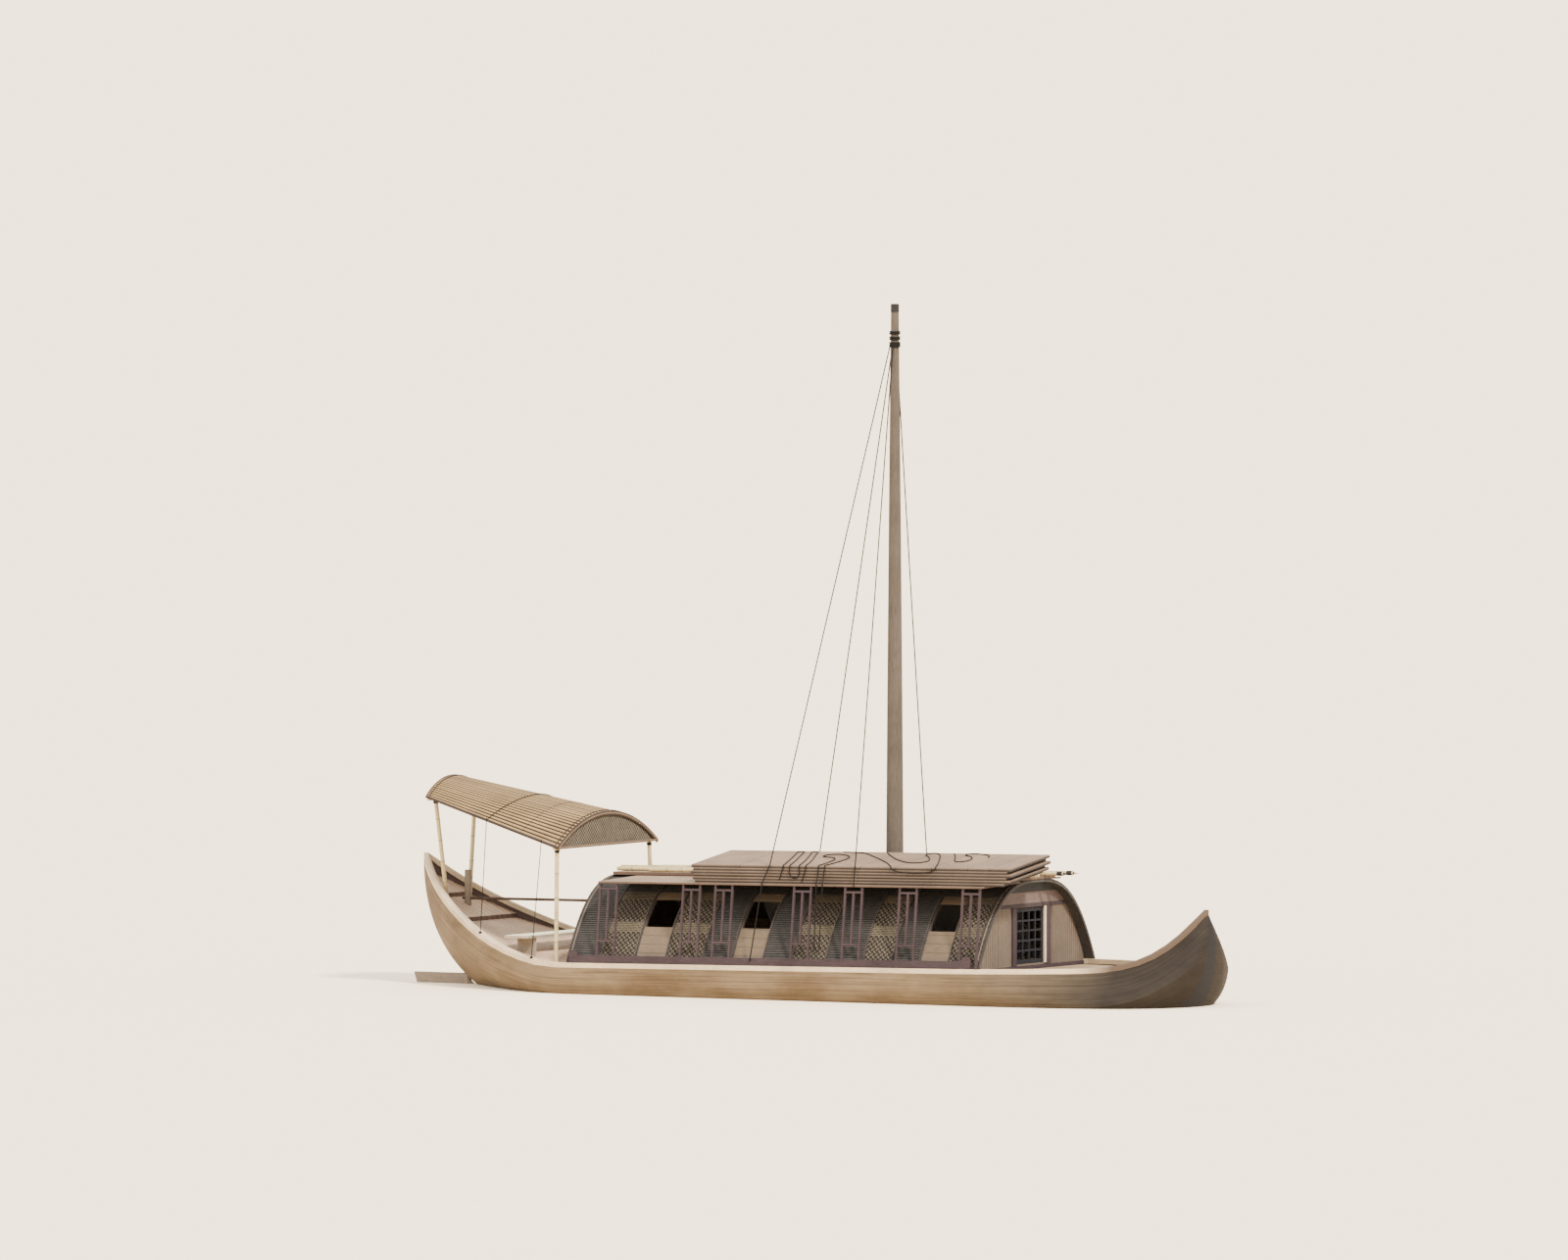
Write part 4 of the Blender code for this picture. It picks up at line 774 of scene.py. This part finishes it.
def transverse_boards(bm, source, seams_at, gap):
    """Copies of a model plate, cut between seams into boards laid across it."""
    low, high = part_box(source)
    places = [low.x - 0.01] + [p for p in seams_at if low.x + 0.1 < p < high.x - 0.1] + [high.x + 0.01]
    for near, far in zip(places, places[1:]):
        piece = bmesh.new()
        piece.from_mesh(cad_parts[source].data)
        bmesh.ops.remove_doubles(piece, verts=piece.verts, dist=0.00001)
        for x, normal in ((near + gap / 2, (-1, 0, 0)), (far - gap / 2, (1, 0, 0))):
            geometry = list(piece.verts) + list(piece.edges) + list(piece.faces)
            bmesh.ops.bisect_plane(piece, geom=geometry, dist=0.00001, plane_co=(x, 0, 0), plane_no=normal,
                                   clear_outer=True)
            bmesh.ops.holes_fill(piece, edges=[e for e in piece.edges if e.is_boundary])
        bmesh.ops.recalc_face_normals(piece, faces=piece.faces)
        sharp = [e for e in piece.edges if len(e.link_faces) == 2 and e.calc_face_angle(0) > 0.5]
        bmesh.ops.bevel(piece, geom=sharp, offset=BOARD_EASE, segments=1, affect="EDGES")
        scratch = bpy.data.meshes.new("board")
        piece.to_mesh(scratch)
        piece.free()
        bm.from_mesh(scratch)
        bpy.data.meshes.remove(scratch)


def even_seams(low, high):
    """Seams about one board apart, each a little off."""
    count = max(1, round((high - low) / BOARD_WIDTH))
    return [lerp(low, high, i / count) + rng.uniform(-SEAM_SLACK, SEAM_SLACK) for i in range(1, count)]


def make_roof():
    """Stacked boards, side shelves and ridge."""
    for number in range(1, 7):
        source = f"roof_board_{number}"
        bm = bmesh.new()
        transverse_boards(bm, source, STACK_SEAMS if number == 6 else (), STACK_GAP)
        add_piece(f"stacked_boards_{number}", bm, STACK_TAN, None, "roof_boards", source)
    for source in ("roof_shelf_starboard", "roof_shelf_port", "roof_ridge_board"):
        bm = bmesh.new()
        low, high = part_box(source)
        transverse_boards(bm, source, even_seams(low.x, high.x), SHELF_GAP)
        add_piece(source + "_planks", bm, BOARD_TAN, None, "roof_boards", source)


def cane_pole(bm, rings, start, end, radius, pitch=0.36):
    """Bamboo from start to end, with a swelling and a dark band at each node."""
    start, end = Vector(start), Vector(end)
    length = (end - start).length
    count = max(2, round(length / pitch))
    places, radii = [0.0], [radius * CANE_END]
    for k in range(1, count):
        at = (k + rng.uniform(-0.12, 0.12)) / count
        half = NODE_HALF / length
        places += [at + step * half for step, swell in NODE_SHAPE]
        radii += [radius * swell for step, swell in NODE_SHAPE]
        band = [start.lerp(end, at + d) for d in (-0.35 * half, 0.35 * half)]
        rod(rings, band, radius * 1.01, 12)
    places.append(1.0)
    radii.append(radius * CANE_END)
    rod(bm, [start.lerp(end, p) for p in places], radii, 12)


def make_poles():
    """Bamboo poles on the roof, two with iron points forward."""
    canes, bands, tips = (bmesh.new() for _ in range(3))
    for number in range(1, 6):
        low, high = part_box(f"pole_{number}")
        y = (low.y + high.y) / 2
        start_z, end_z = low.z + POLE_RADIUS, high.z - POLE_RADIUS
        cane_pole(canes, bands, (low.x, y, start_z), (high.x, y, end_z), POLE_RADIUS)
        if number in IRON_TIPPED:
            rod(tips, [(high.x + ahead, y, end_z) for ahead, radius in IRON_SHAPE],
                [radius for ahead, radius in IRON_SHAPE], 12)
    add_piece("roof_canes", canes, CANE, 40, "bamboo", *(f"pole_{n}" for n in range(1, 6)))
    add_piece("roof_cane_nodes", bands, CANE_NODE, 40, "bamboo")
    add_piece("roof_pole_irons", tips, IRON, 40, "dark_lattice")


# Canopy, mast and rigging

STRIP_COUNT = 36
STRIP_PROUD = 0.020
# Lines round the canopy: finish, share of its length, height over the mat, radius
RIM_LINES = (
    ("brown", 0.0, 0.010, 0.016), ("tan", 0.0, -0.020, 0.024), ("brown", 0.0, -0.050, 0.012),
    ("brown", 0.022, 0.022, 0.010), ("brown", 1.0, 0.010, 0.016), ("tan", 1.0, -0.018, 0.020),
    ("brown", 0.978, 0.022, 0.010),
)
CANOPY_RUN = CANOPY_FORE[0] - CANOPY_AFT[0]
RIM_STEPS = 48
TIE = (-7.95, -7.66)
DOWN_LINES = (-7.95, -6.56)
MAT_JOINT = (-7.1, -6.97)
TIE_RADIUS = 0.008
TIE_COIL = (0.022, 36, 3, 0.0015)
EDGE_RADIUS = 0.026
CHORD_RADIUS = 0.022
JOINT_PROUD = 0.0185
JOINT_RADIUS = 0.0045
POST_RADIUS = 0.042
# Posts at each end: end, share of the canopy's length, foot along and across, head across
POSTS = (("fore", 0.030, -6.22, 1.80, 1.70), ("aft", 0.985, -9.385, 0.41, 0.72))
POST_PITCH = 0.40
RAIL_RADIUS = 0.028
RAIL_PITCH = 0.42
LASHING_RADIUS = 0.044
LASHING_PITCH = 0.016
MAST_SHOULDER = (9.0, 0.112)
MAST_HEAD = (12.85, 0.072)
CAP_FOOT = 12.70
CAP_PROUD = 0.006
NECK_RADIUS = 0.016
NECK_PROUD = 0.013
NECK_TILT = 0.002
NECK_FOOT = 12.06
NECK_PITCH = 0.034
NECK_TURNS = (0, 1, 2, 4, 5, 7, 8)
RIM_RISE = 0.09


def canopy_point(share, angle, proud=0.0):
    """Outside of the canopy at a share of its length and an angle from its port edge."""
    x, chord, half, lift = [lerp(a, b, share) for a, b in zip(CANOPY_FORE, CANOPY_AFT)]
    radius = (half * half + lift * lift) / (2 * lift)
    centre_z = chord + lift - radius
    reach = math.acos((chord - centre_z) / radius)
    turn = lerp(reach, -reach, angle / math.pi)
    return Vector((x, (radius + proud) * math.sin(turn), centre_z + (radius + proud) * math.cos(turn)))


def make_canopy():
    """Long split canes over the canopy, bound round both ends and along the edges."""
    canes, rims, tans, ties = (bmesh.new() for _ in range(4))
    stations = [i / 8 for i in range(9)]
    for k in range(STRIP_COUNT):
        low, high = math.pi * k / STRIP_COUNT, math.pi * (k + 1) / STRIP_COUNT
        proud = STRIP_PROUD * rng.uniform(0.75, 1.1)
        start, end = rng.uniform(0.0, 0.004), rng.uniform(0.996, 1.0)
        profile = ((0.10, 0.001), (0.22, proud * 0.85), (0.5, proud), (0.78, proud * 0.85), (0.90, 0.001))
        crested_loft(canes, [[canopy_point(lerp(start, end, station), lerp(low, high, part), out)
                              for part, out in profile] for station in stations])
    angles = [math.pi * i / RIM_STEPS for i in range(RIM_STEPS + 1)]
    for colour, share, proud, radius in RIM_LINES:
        target = tans if colour == "tan" else rims
        rod(target, [canopy_point(share, a, proud) for a in angles], radius, 10)
    for edge in (0.0, math.pi):
        rod(rims, [canopy_point(s, edge, 0.004) + Vector((0, 0, 0.004)) for s in stations], EDGE_RADIUS, 10)
    chord, half = CANOPY_FORE[1] + 0.006, CANOPY_FORE[2]
    rod(tans, [(CANOPY_FORE[0], y, chord) for y in (-half, half)], CHORD_RADIUS, 10)

    def girdle(target, places, proud, radius):
        """Line round the canopy, at one place by its edges and another at its crown."""
        points = []
        for a in angles:
            x = lerp(*places, math.sin(a))
            points.append(canopy_point((CANOPY_FORE[0] - x) / CANOPY_RUN, a, proud))
        rod(target, points, radius, 8)

    girdle(ties, TIE, STRIP_PROUD + TIE_RADIUS, TIE_RADIUS)
    girdle(rims, MAT_JOINT, JOINT_PROUD, JOINT_RADIUS)
    for near_x in DOWN_LINES:
        share = (CANOPY_FORE[0] - near_x) / CANOPY_RUN
        head = canopy_point(share, math.pi, 0.030 + TIE_RADIUS)
        foot = rim_point(near_x, -1) + Vector((0, 0.03, 0.012))
        middle = head.lerp(foot, 0.5) + Vector((0, 0, -0.01))
        rod(ties, [head + Vector((0, 0, 0.02)), head, middle, foot], TIE_RADIUS, 8)
        rod(ties, ring_points(foot, *TIE_COIL), TIE_RADIUS, 6)
    add_piece("canopy_canes", canes, CANOPY_STRAW, 40, "canopy_mat")
    add_piece("canopy_rims", rims, RIM_BROWN, 60, "canopy_mat")
    add_piece("canopy_rim_canes", tans, RIM_TAN, 60, "canopy_mat")
    add_piece("canopy_ties", ties, ROPE_DARK, 60, "rope")
    panel = bmesh.new()
    panel.from_mesh(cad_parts["canopy_end_panel"].data)
    layer = panel.loops.layers.uv.new("plait")
    for face in panel.faces:
        for corner in face.loops:
            corner[layer].uv = (corner.vert.co.y, corner.vert.co.z)
    add_piece("canopy_end_mat", panel, MAT_CANOPY, None, "canopy_mat", "canopy_end_panel")


def rim_point(x, side):
    """Top of the gunwale at a place along the boat."""
    low, high = 0.0, 1.0
    for _ in range(40):
        middle = (low + high) / 2
        if hull_point(middle, 1.0).x < x:
            low = middle
        else:
            high = middle
    place = hull_point(low, 1.0)
    return Vector((x, side * place.y, place.z + RIM_RISE))


def make_posts():
    """Bamboo posts and rails under the canopy."""
    canes, bands, lashings = (bmesh.new() for _ in range(3))
    names = []
    for end, share, foot_x, foot_y, head_y in POSTS:
        x, half = (lerp(CANOPY_FORE[k], CANOPY_AFT[k], share) for k in (0, 2))
        low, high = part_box("canopy_rail_" + end)
        rail_z = (low.z + high.z) / 2
        cane_pole(canes, bands, (x, -half, rail_z), (x, half, rail_z), RAIL_RADIUS, RAIL_PITCH)
        names.append("canopy_rail_" + end)
        for label, side in SIDES:
            name = f"canopy_post_{end}_{label}"
            low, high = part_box(name)
            foot = Vector((foot_x, side * foot_y, low.z))
            head = Vector((x, side * head_y, high.z))
            cane_pole(canes, bands, foot, head, POST_RADIUS, POST_PITCH)
            names.append(name)
            for k in range(3):
                centre = head + Vector((0, 0, -0.02 - LASHING_PITCH * k))
                rod(lashings, ring_points(centre, LASHING_RADIUS, 16), TIE_RADIUS, 6)
    add_piece("canopy_canes_upright", canes, CANE, 40, "bamboo", *names)
    add_piece("canopy_cane_nodes", bands, CANE_NODE, 40, "bamboo")
    add_piece("canopy_lashings", lashings, ROPE_DARK, 60, "rope")


def mast_radius(z):
    """Radius of the mast's upper part."""
    share = (z - MAST_SHOULDER[0]) / (MAST_HEAD[0] - MAST_SHOULDER[0])
    return lerp(MAST_SHOULDER[1], MAST_HEAD[1], share)


def make_mast_dress():
    """Iron cap and rope neck of the mast."""
    ropes, caps = bmesh.new(), bmesh.new()
    ends = (CAP_FOOT, MAST_HEAD[0])
    rod(caps, [(0, 0, z) for z in ends], [mast_radius(z) + CAP_PROUD for z in ends], 24)
    for k in NECK_TURNS:
        z = NECK_FOOT + NECK_PITCH * k
        ring = ring_points(Vector((0, 0, z)), mast_radius(z) + NECK_PROUD, 24, tilt=NECK_TILT)
        rod(ropes, ring, NECK_RADIUS, 8)
    add_piece("mast_cap", caps, IRON, 40, "mast_wood")
    add_piece("mast_neck_ropes", ropes, ROPE_DARK, 60, "rope")


# Front wall

PLANK_STEP = 0.078
LINTEL_Z = 1.745
TRANSOM_Z = 1.805
TRANSOM_TOP = 2.02
WALL_BASE = 0.66
WALL_REACH = 2.06
DOOR_REACH = (-0.585, 0.835)
BOARD_GAP = 0.003
# Boards over the planks: group, left, right, foot, head, thickness and steps across
WALL_BOARDS = (
    ("trims", -2.1, 2.1, LINTEL_Z + BOARD_GAP, TRANSOM_Z, 0.034, 60),
    ("trims", DOOR_REACH[0], -0.442, WALL_BASE, LINTEL_Z, 0.03, 1),
    ("trims", 0.685, DOOR_REACH[1], WALL_BASE, LINTEL_Z, 0.03, 1),
    ("pale", 0.613, 0.685, 0.69, LINTEL_Z, 0.022, 1),
    ("trims", -2.09, 2.09, 0.60, WALL_BASE - 0.002, 0.026, 60),
    ("boards", -1.9, 1.9, TRANSOM_Z + BOARD_GAP, TRANSOM_TOP, 0.02, 60),
    ("dark", -1.6, 1.6, TRANSOM_TOP + BOARD_GAP, 2.4, 0.012, 60),
)


def inner_height(y, x):
    """Height of the vault's inside over a place across the boat."""
    spread = min(1.0, abs(y) / (VAULT_HALF_WIDTH - VAULT_THICK))
    return DECK_LINE + GAP + (VAULT_RISE - VAULT_THICK) * (1 - spread ** VAULT_POWER) + rise(x)


def wall_board(bm, y_low, y_high, z_low, z_high, near, far, steps):
    """Board on the front wall, trimmed to the inside of the vault."""
    rings = []
    for i in range(steps + 1):
        y = lerp(y_low, y_high, i / steps)
        top = min(z_high, inner_height(y, near) - 0.004)
        if top <= z_low + 0.005:
            continue
        rings.append([(near, y, z_low), (far, y, z_low), (far, y, top), (near, y, top)])
    if len(rings) > 1:
        loft(bm, rings)


def make_front_wall():
    """Narrow upright planks, door posts, lintel and the broad board over the door."""
    groups = {name: bmesh.new() for name in ("planks", "trims", "boards", "dark", "pale")}
    face = BULKHEAD_FACE + 0.001
    y = -WALL_REACH
    while y < WALL_REACH:
        end = y + PLANK_STEP * rng.uniform(0.9, 1.1)
        if end < DOOR_REACH[0] or y > DOOR_REACH[1]:
            front = face + rng.uniform(0.010, 0.014)
            wall_board(groups["planks"], y + 0.002, end - 0.002, WALL_BASE, LINTEL_Z, face, front, 2)
        y = end
    for group, left, right, foot, head, thick, steps in WALL_BOARDS:
        wall_board(groups[group], left, right, foot, head, face, face + thick, steps)
    add_piece("front_wall_planks", groups["planks"], PANEL_TAN, 40, "panel_wood")
    add_piece("front_wall_trims", groups["trims"], FRAME_MAUVE, 40, "frame_wood")
    add_piece("front_wall_board", groups["boards"], TRANSOM_MAUVE, 40, "panel_wood")
    add_piece("front_wall_head", groups["dark"], SLAT_DARK, 40, "dark_lattice")
    add_piece("front_wall_jamb", groups["pale"], PALE_CREAM, 40, "panel_wood")


# Loose ropes on the roof

ROPE_RADIUS = 0.010
ROPE_PITCH = 0.035
ROPE_LENGTHS = (("roof_rope_fore", 7.88), ("roof_rope_bow", 2.77), ("roof_rope_aft", 7.26),
                ("roof_rope_tail", 6.12))
EDGE_BEND = ((0.10, 0.0245), (0.0223, 0.0197), (-0.0074, 0.0074), (-0.0197, -0.0223))
EDGE_HANG = -0.0205
EDGE_DROP = -0.06
EAVE_HANG_Y = -2.105
EAVE_LEVEL = -0.40
TAIL_DEPTHS = (EAVE_LEVEL, -0.60, -1.0, -1.56)
TOP_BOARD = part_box("roof_board_6")[0]
STACK_EDGE = TOP_BOARD.y
STACK_FACE = STACK_EDGE + EDGE_HANG
EAVE_BEND = ((STACK_FACE - 0.0135, -0.14), (STACK_FACE - 0.0415, -0.24), (EAVE_HANG_Y + 0.003, -0.325))
STACK_LEAN = math.asin((STACK_OUTER_Y - STACK_EDGE) / STACK_THICK)
STACK_TOP = TOP_BOARD.z - rise(TOP_BOARD.x) + STACK_THICK / math.cos(STACK_LEAN)


def rope_place(x, y, height=None):
    """Centre of a rope, rounded: on the stack, or at a height over the stack's near edge."""
    if height is None:
        height = (y - STACK_OUTER_Y) * math.tan(STACK_LEAN) + ROPE_RADIUS / math.cos(STACK_LEAN) + GAP
    return Vector((float(f"{x:.4g}"), float(f"{y:.4g}"), round(STACK_TOP + height + rise(x), 4)))


def over_edge(x, drift, inboard):
    """Spots of a rope that bends over the stack's near edge, from inboard to hanging."""
    spots = [(x - drift * inboard, STACK_EDGE + inboard)]
    spots += [(x - drift * max(0.0, reach), STACK_EDGE + reach, height) for reach, height in EDGE_BEND]
    return spots + [(x, STACK_FACE, EDGE_DROP)]


def hanging(*spots):
    """Spots of a rope on the stack's near face, each a place along it and a height."""
    return [(x, STACK_FACE, height) for x, height in spots]


def eave_hang(x, drift):
    """Spots of a rope's end from the stack's face over the eave and down the house."""
    spots = [(x, y, height) for y, height in EAVE_BEND]
    return spots + [(x + drift * (depth - EAVE_LEVEL), EAVE_HANG_Y, depth) for depth in TAIL_DEPTHS]


def rope_spots():
    """Spots of each loose rope, in order along it."""
    fore = [(0.2, -0.62), (0.34, -0.8), (0.72, -1.22), (1.1, -1.52), (1.38, -1.58), (1.5, -1.38),
            (1.34, -1.06), (1.1, -0.76), (1.12, -0.63), (1.26, -0.62), (1.42, -0.8), (1.64, -1.2)]
    fore += over_edge(2.02, 0.45, 0.38)[:-1]
    fore += hanging((1.97, -0.052), (1.88, -0.083), (1.72, -0.104), (1.56, -0.108), (1.36, -0.098),
                    (1.2, -0.076), (1.11, -0.049))
    fore += over_edge(1.07, 0.8, 0.36)[-2::-1]
    fore += [(0.42, -1.28), (0.06, -0.95), (-0.2, -0.73), (-0.46, -0.64), (-0.74, -0.62)]
    bow = [(1.62, -0.62), (1.72, -0.76), (1.88, -1.04), (2.02, -1.3), (2.14, -1.42), (2.27, -1.36),
           (2.29, -1.16), (2.16, -0.92), (1.96, -0.78), (1.92, -0.66), (2.04, -0.6), (2.24, -0.64),
           (2.44, -0.76), (2.54, -0.96)]
    aft = hanging((-1.3, -0.27), (-1.28, -0.2), (-1.25, -0.12)) + over_edge(-1.22, 0.33, 0.5)[::-1]
    aft += [(-1.56, -1.0), (-1.665, -0.7), (-1.6, -0.625), (-1.535, -0.7), (-1.43, -1.0)]
    aft += over_edge(-1.08, 0.33, 0.5)
    aft += hanging((-1.09, -0.13), (-1.06, -0.2), (-0.98, -0.235), (-0.9, -0.2), (-0.87, -0.13))
    aft += over_edge(-0.88, 0.33, 0.5)[::-1]
    aft += [(-1.24, -1.0), (-1.365, -0.7), (-1.31, -0.63), (-1.24, -0.69), (-1.12, -1.0)]
    aft += over_edge(-0.74, 0.33, 0.5) + hanging((-0.76, -0.12), (-0.79, -0.2), (-0.82, -0.3))
    tail = eave_hang(-0.34, 0.06)[::-1] + over_edge(-0.34, -0.12, 0.45)[::-1]
    tail += [(-0.3, -1.18), (-0.46, -0.96), (-0.7, -0.86), (-0.9, -0.92), (-0.92, -1.06),
             (-0.8, -1.14), (-0.64, -1.18), (-0.52, -1.32)]
    tail += over_edge(-0.47, 0.0, 0.45) + eave_hang(-0.47, 0.04)
    return fore, bow, aft, tail


def smooth_line(points, pitch):
    """Points along a curve through places, about one pitch apart."""
    line = []
    extended = [2 * points[0] - points[1]] + points + [2 * points[-1] - points[-2]]
    for a, b, c, d in zip(extended, extended[1:], extended[2:], extended[3:]):
        steps = max(1, round((c - b).length / pitch))
        for k in range(steps):
            s = k / steps
            line.append(0.5 * (2 * b + (c - a) * s + (2 * a - 5 * b + 4 * c - d) * s ** 2
                               + (3 * b - a - 3 * c + d) * s ** 3))
    return line + [points[-1]]


def make_roof_ropes():
    """Loose ropes in open loops on the stacked boards, with the ends that hang off them."""
    for (name, length), spots in zip(ROPE_LENGTHS, rope_spots()):
        route = [rope_place(*spot) for spot in spots]
        curve = bpy.data.curves.new(name + "_laid", "CURVE")
        curve.dimensions = "3D"
        curve.bevel_depth = ROPE_RADIUS
        curve.bevel_resolution = 4
        curve.use_fill_caps = True
        spline = curve.splines.new("POLY")
        line = smooth_line(route, ROPE_PITCH)
        spline.points.add(len(line) - 1)
        for target, place in zip(spline.points, line):
            target.co = (*place, 1.0)
        curve.materials.append(ROPE_DARK)
        piece = add_object(name + "_laid", curve)
        dress(piece, "rope", name)


# Camera, floor and light

WORLD_COLOUR = (1.0, 0.985, 1.02)
WORLD_STRENGTH = 2.4
PAPER = (0.98, 0.82, 0.58)
CLIP_END = 6000.0
SUN_AWAY = 60.0


def aim_from(obj, turn, lift, centre, away):
    """Set an object away from a centre in a direction in degrees, facing the centre."""
    a, e = math.radians(turn), math.radians(lift)
    back = Vector((math.sin(a) * math.cos(e), -math.cos(a) * math.cos(e), math.sin(e)))
    obj.location = Vector(centre) + back * away
    obj.rotation_mode = "QUATERNION"
    obj.rotation_quaternion = (-back).to_track_quat("-Z", "Y")


def make_camera():
    """Long lens set where the picture was drawn from."""
    data = bpy.data.cameras.new("camera")
    data.lens = LENS
    data.sensor_width = SENSOR
    data.clip_end = CLIP_END
    camera = add_object("camera", data)
    aim_from(camera, AZIMUTH, ELEVATION, AIM, LENS / SENSOR * PICTURE_WIDTH / PIXELS_PER_METRE)
    bpy.context.scene.camera = camera


def make_floor():
    """Pale level ground like paper, wide enough to fill the picture behind the boat."""
    made, _, shader = new_material("pale_paper")
    feed(shader.inputs["Base Color"], PAPER)
    feed(shader.inputs["Roughness"], 1.0)
    bm = bmesh.new()
    bmesh.ops.create_grid(bm, x_segments=8, y_segments=8, size=FLOOR_HALF)
    add_mesh("paper_floor", bm, made)


def add_sun(name, turn, lift, power, spread, colour):
    """Distant soft light from a direction, in degrees."""
    data = bpy.data.lights.new(name, "SUN")
    data.energy = power
    data.angle = math.radians(spread)
    data.color = colour
    light = add_object(name, data)
    aim_from(light, turn, lift, (0, 0, 0), SUN_AWAY)


def make_lights():
    """Key from the front right, a weaker fill from the left and an even sky."""
    world = bpy.data.worlds.new("studio")
    world.use_nodes = True
    background = world.node_tree.nodes["Background"]
    background.inputs["Color"].default_value = (*WORLD_COLOUR, 1.0)
    background.inputs["Strength"].default_value = WORLD_STRENGTH
    bpy.context.scene.world = world
    add_sun("key", 62.0, 44.0, 7.5, 8.0, (1.0, 0.955, 0.92))
    add_sun("fill", -30.0, 30.0, 1.1, 30.0, (0.96, 0.98, 1.0))


make_camera()
make_roof_ropes()
finish_nodes()
make_hull_skin()
make_walls()
make_arch_rims()
make_roof()
make_poles()
make_canopy()
make_posts()
make_mast_dress()
make_front_wall()
make_floor()
make_lights()
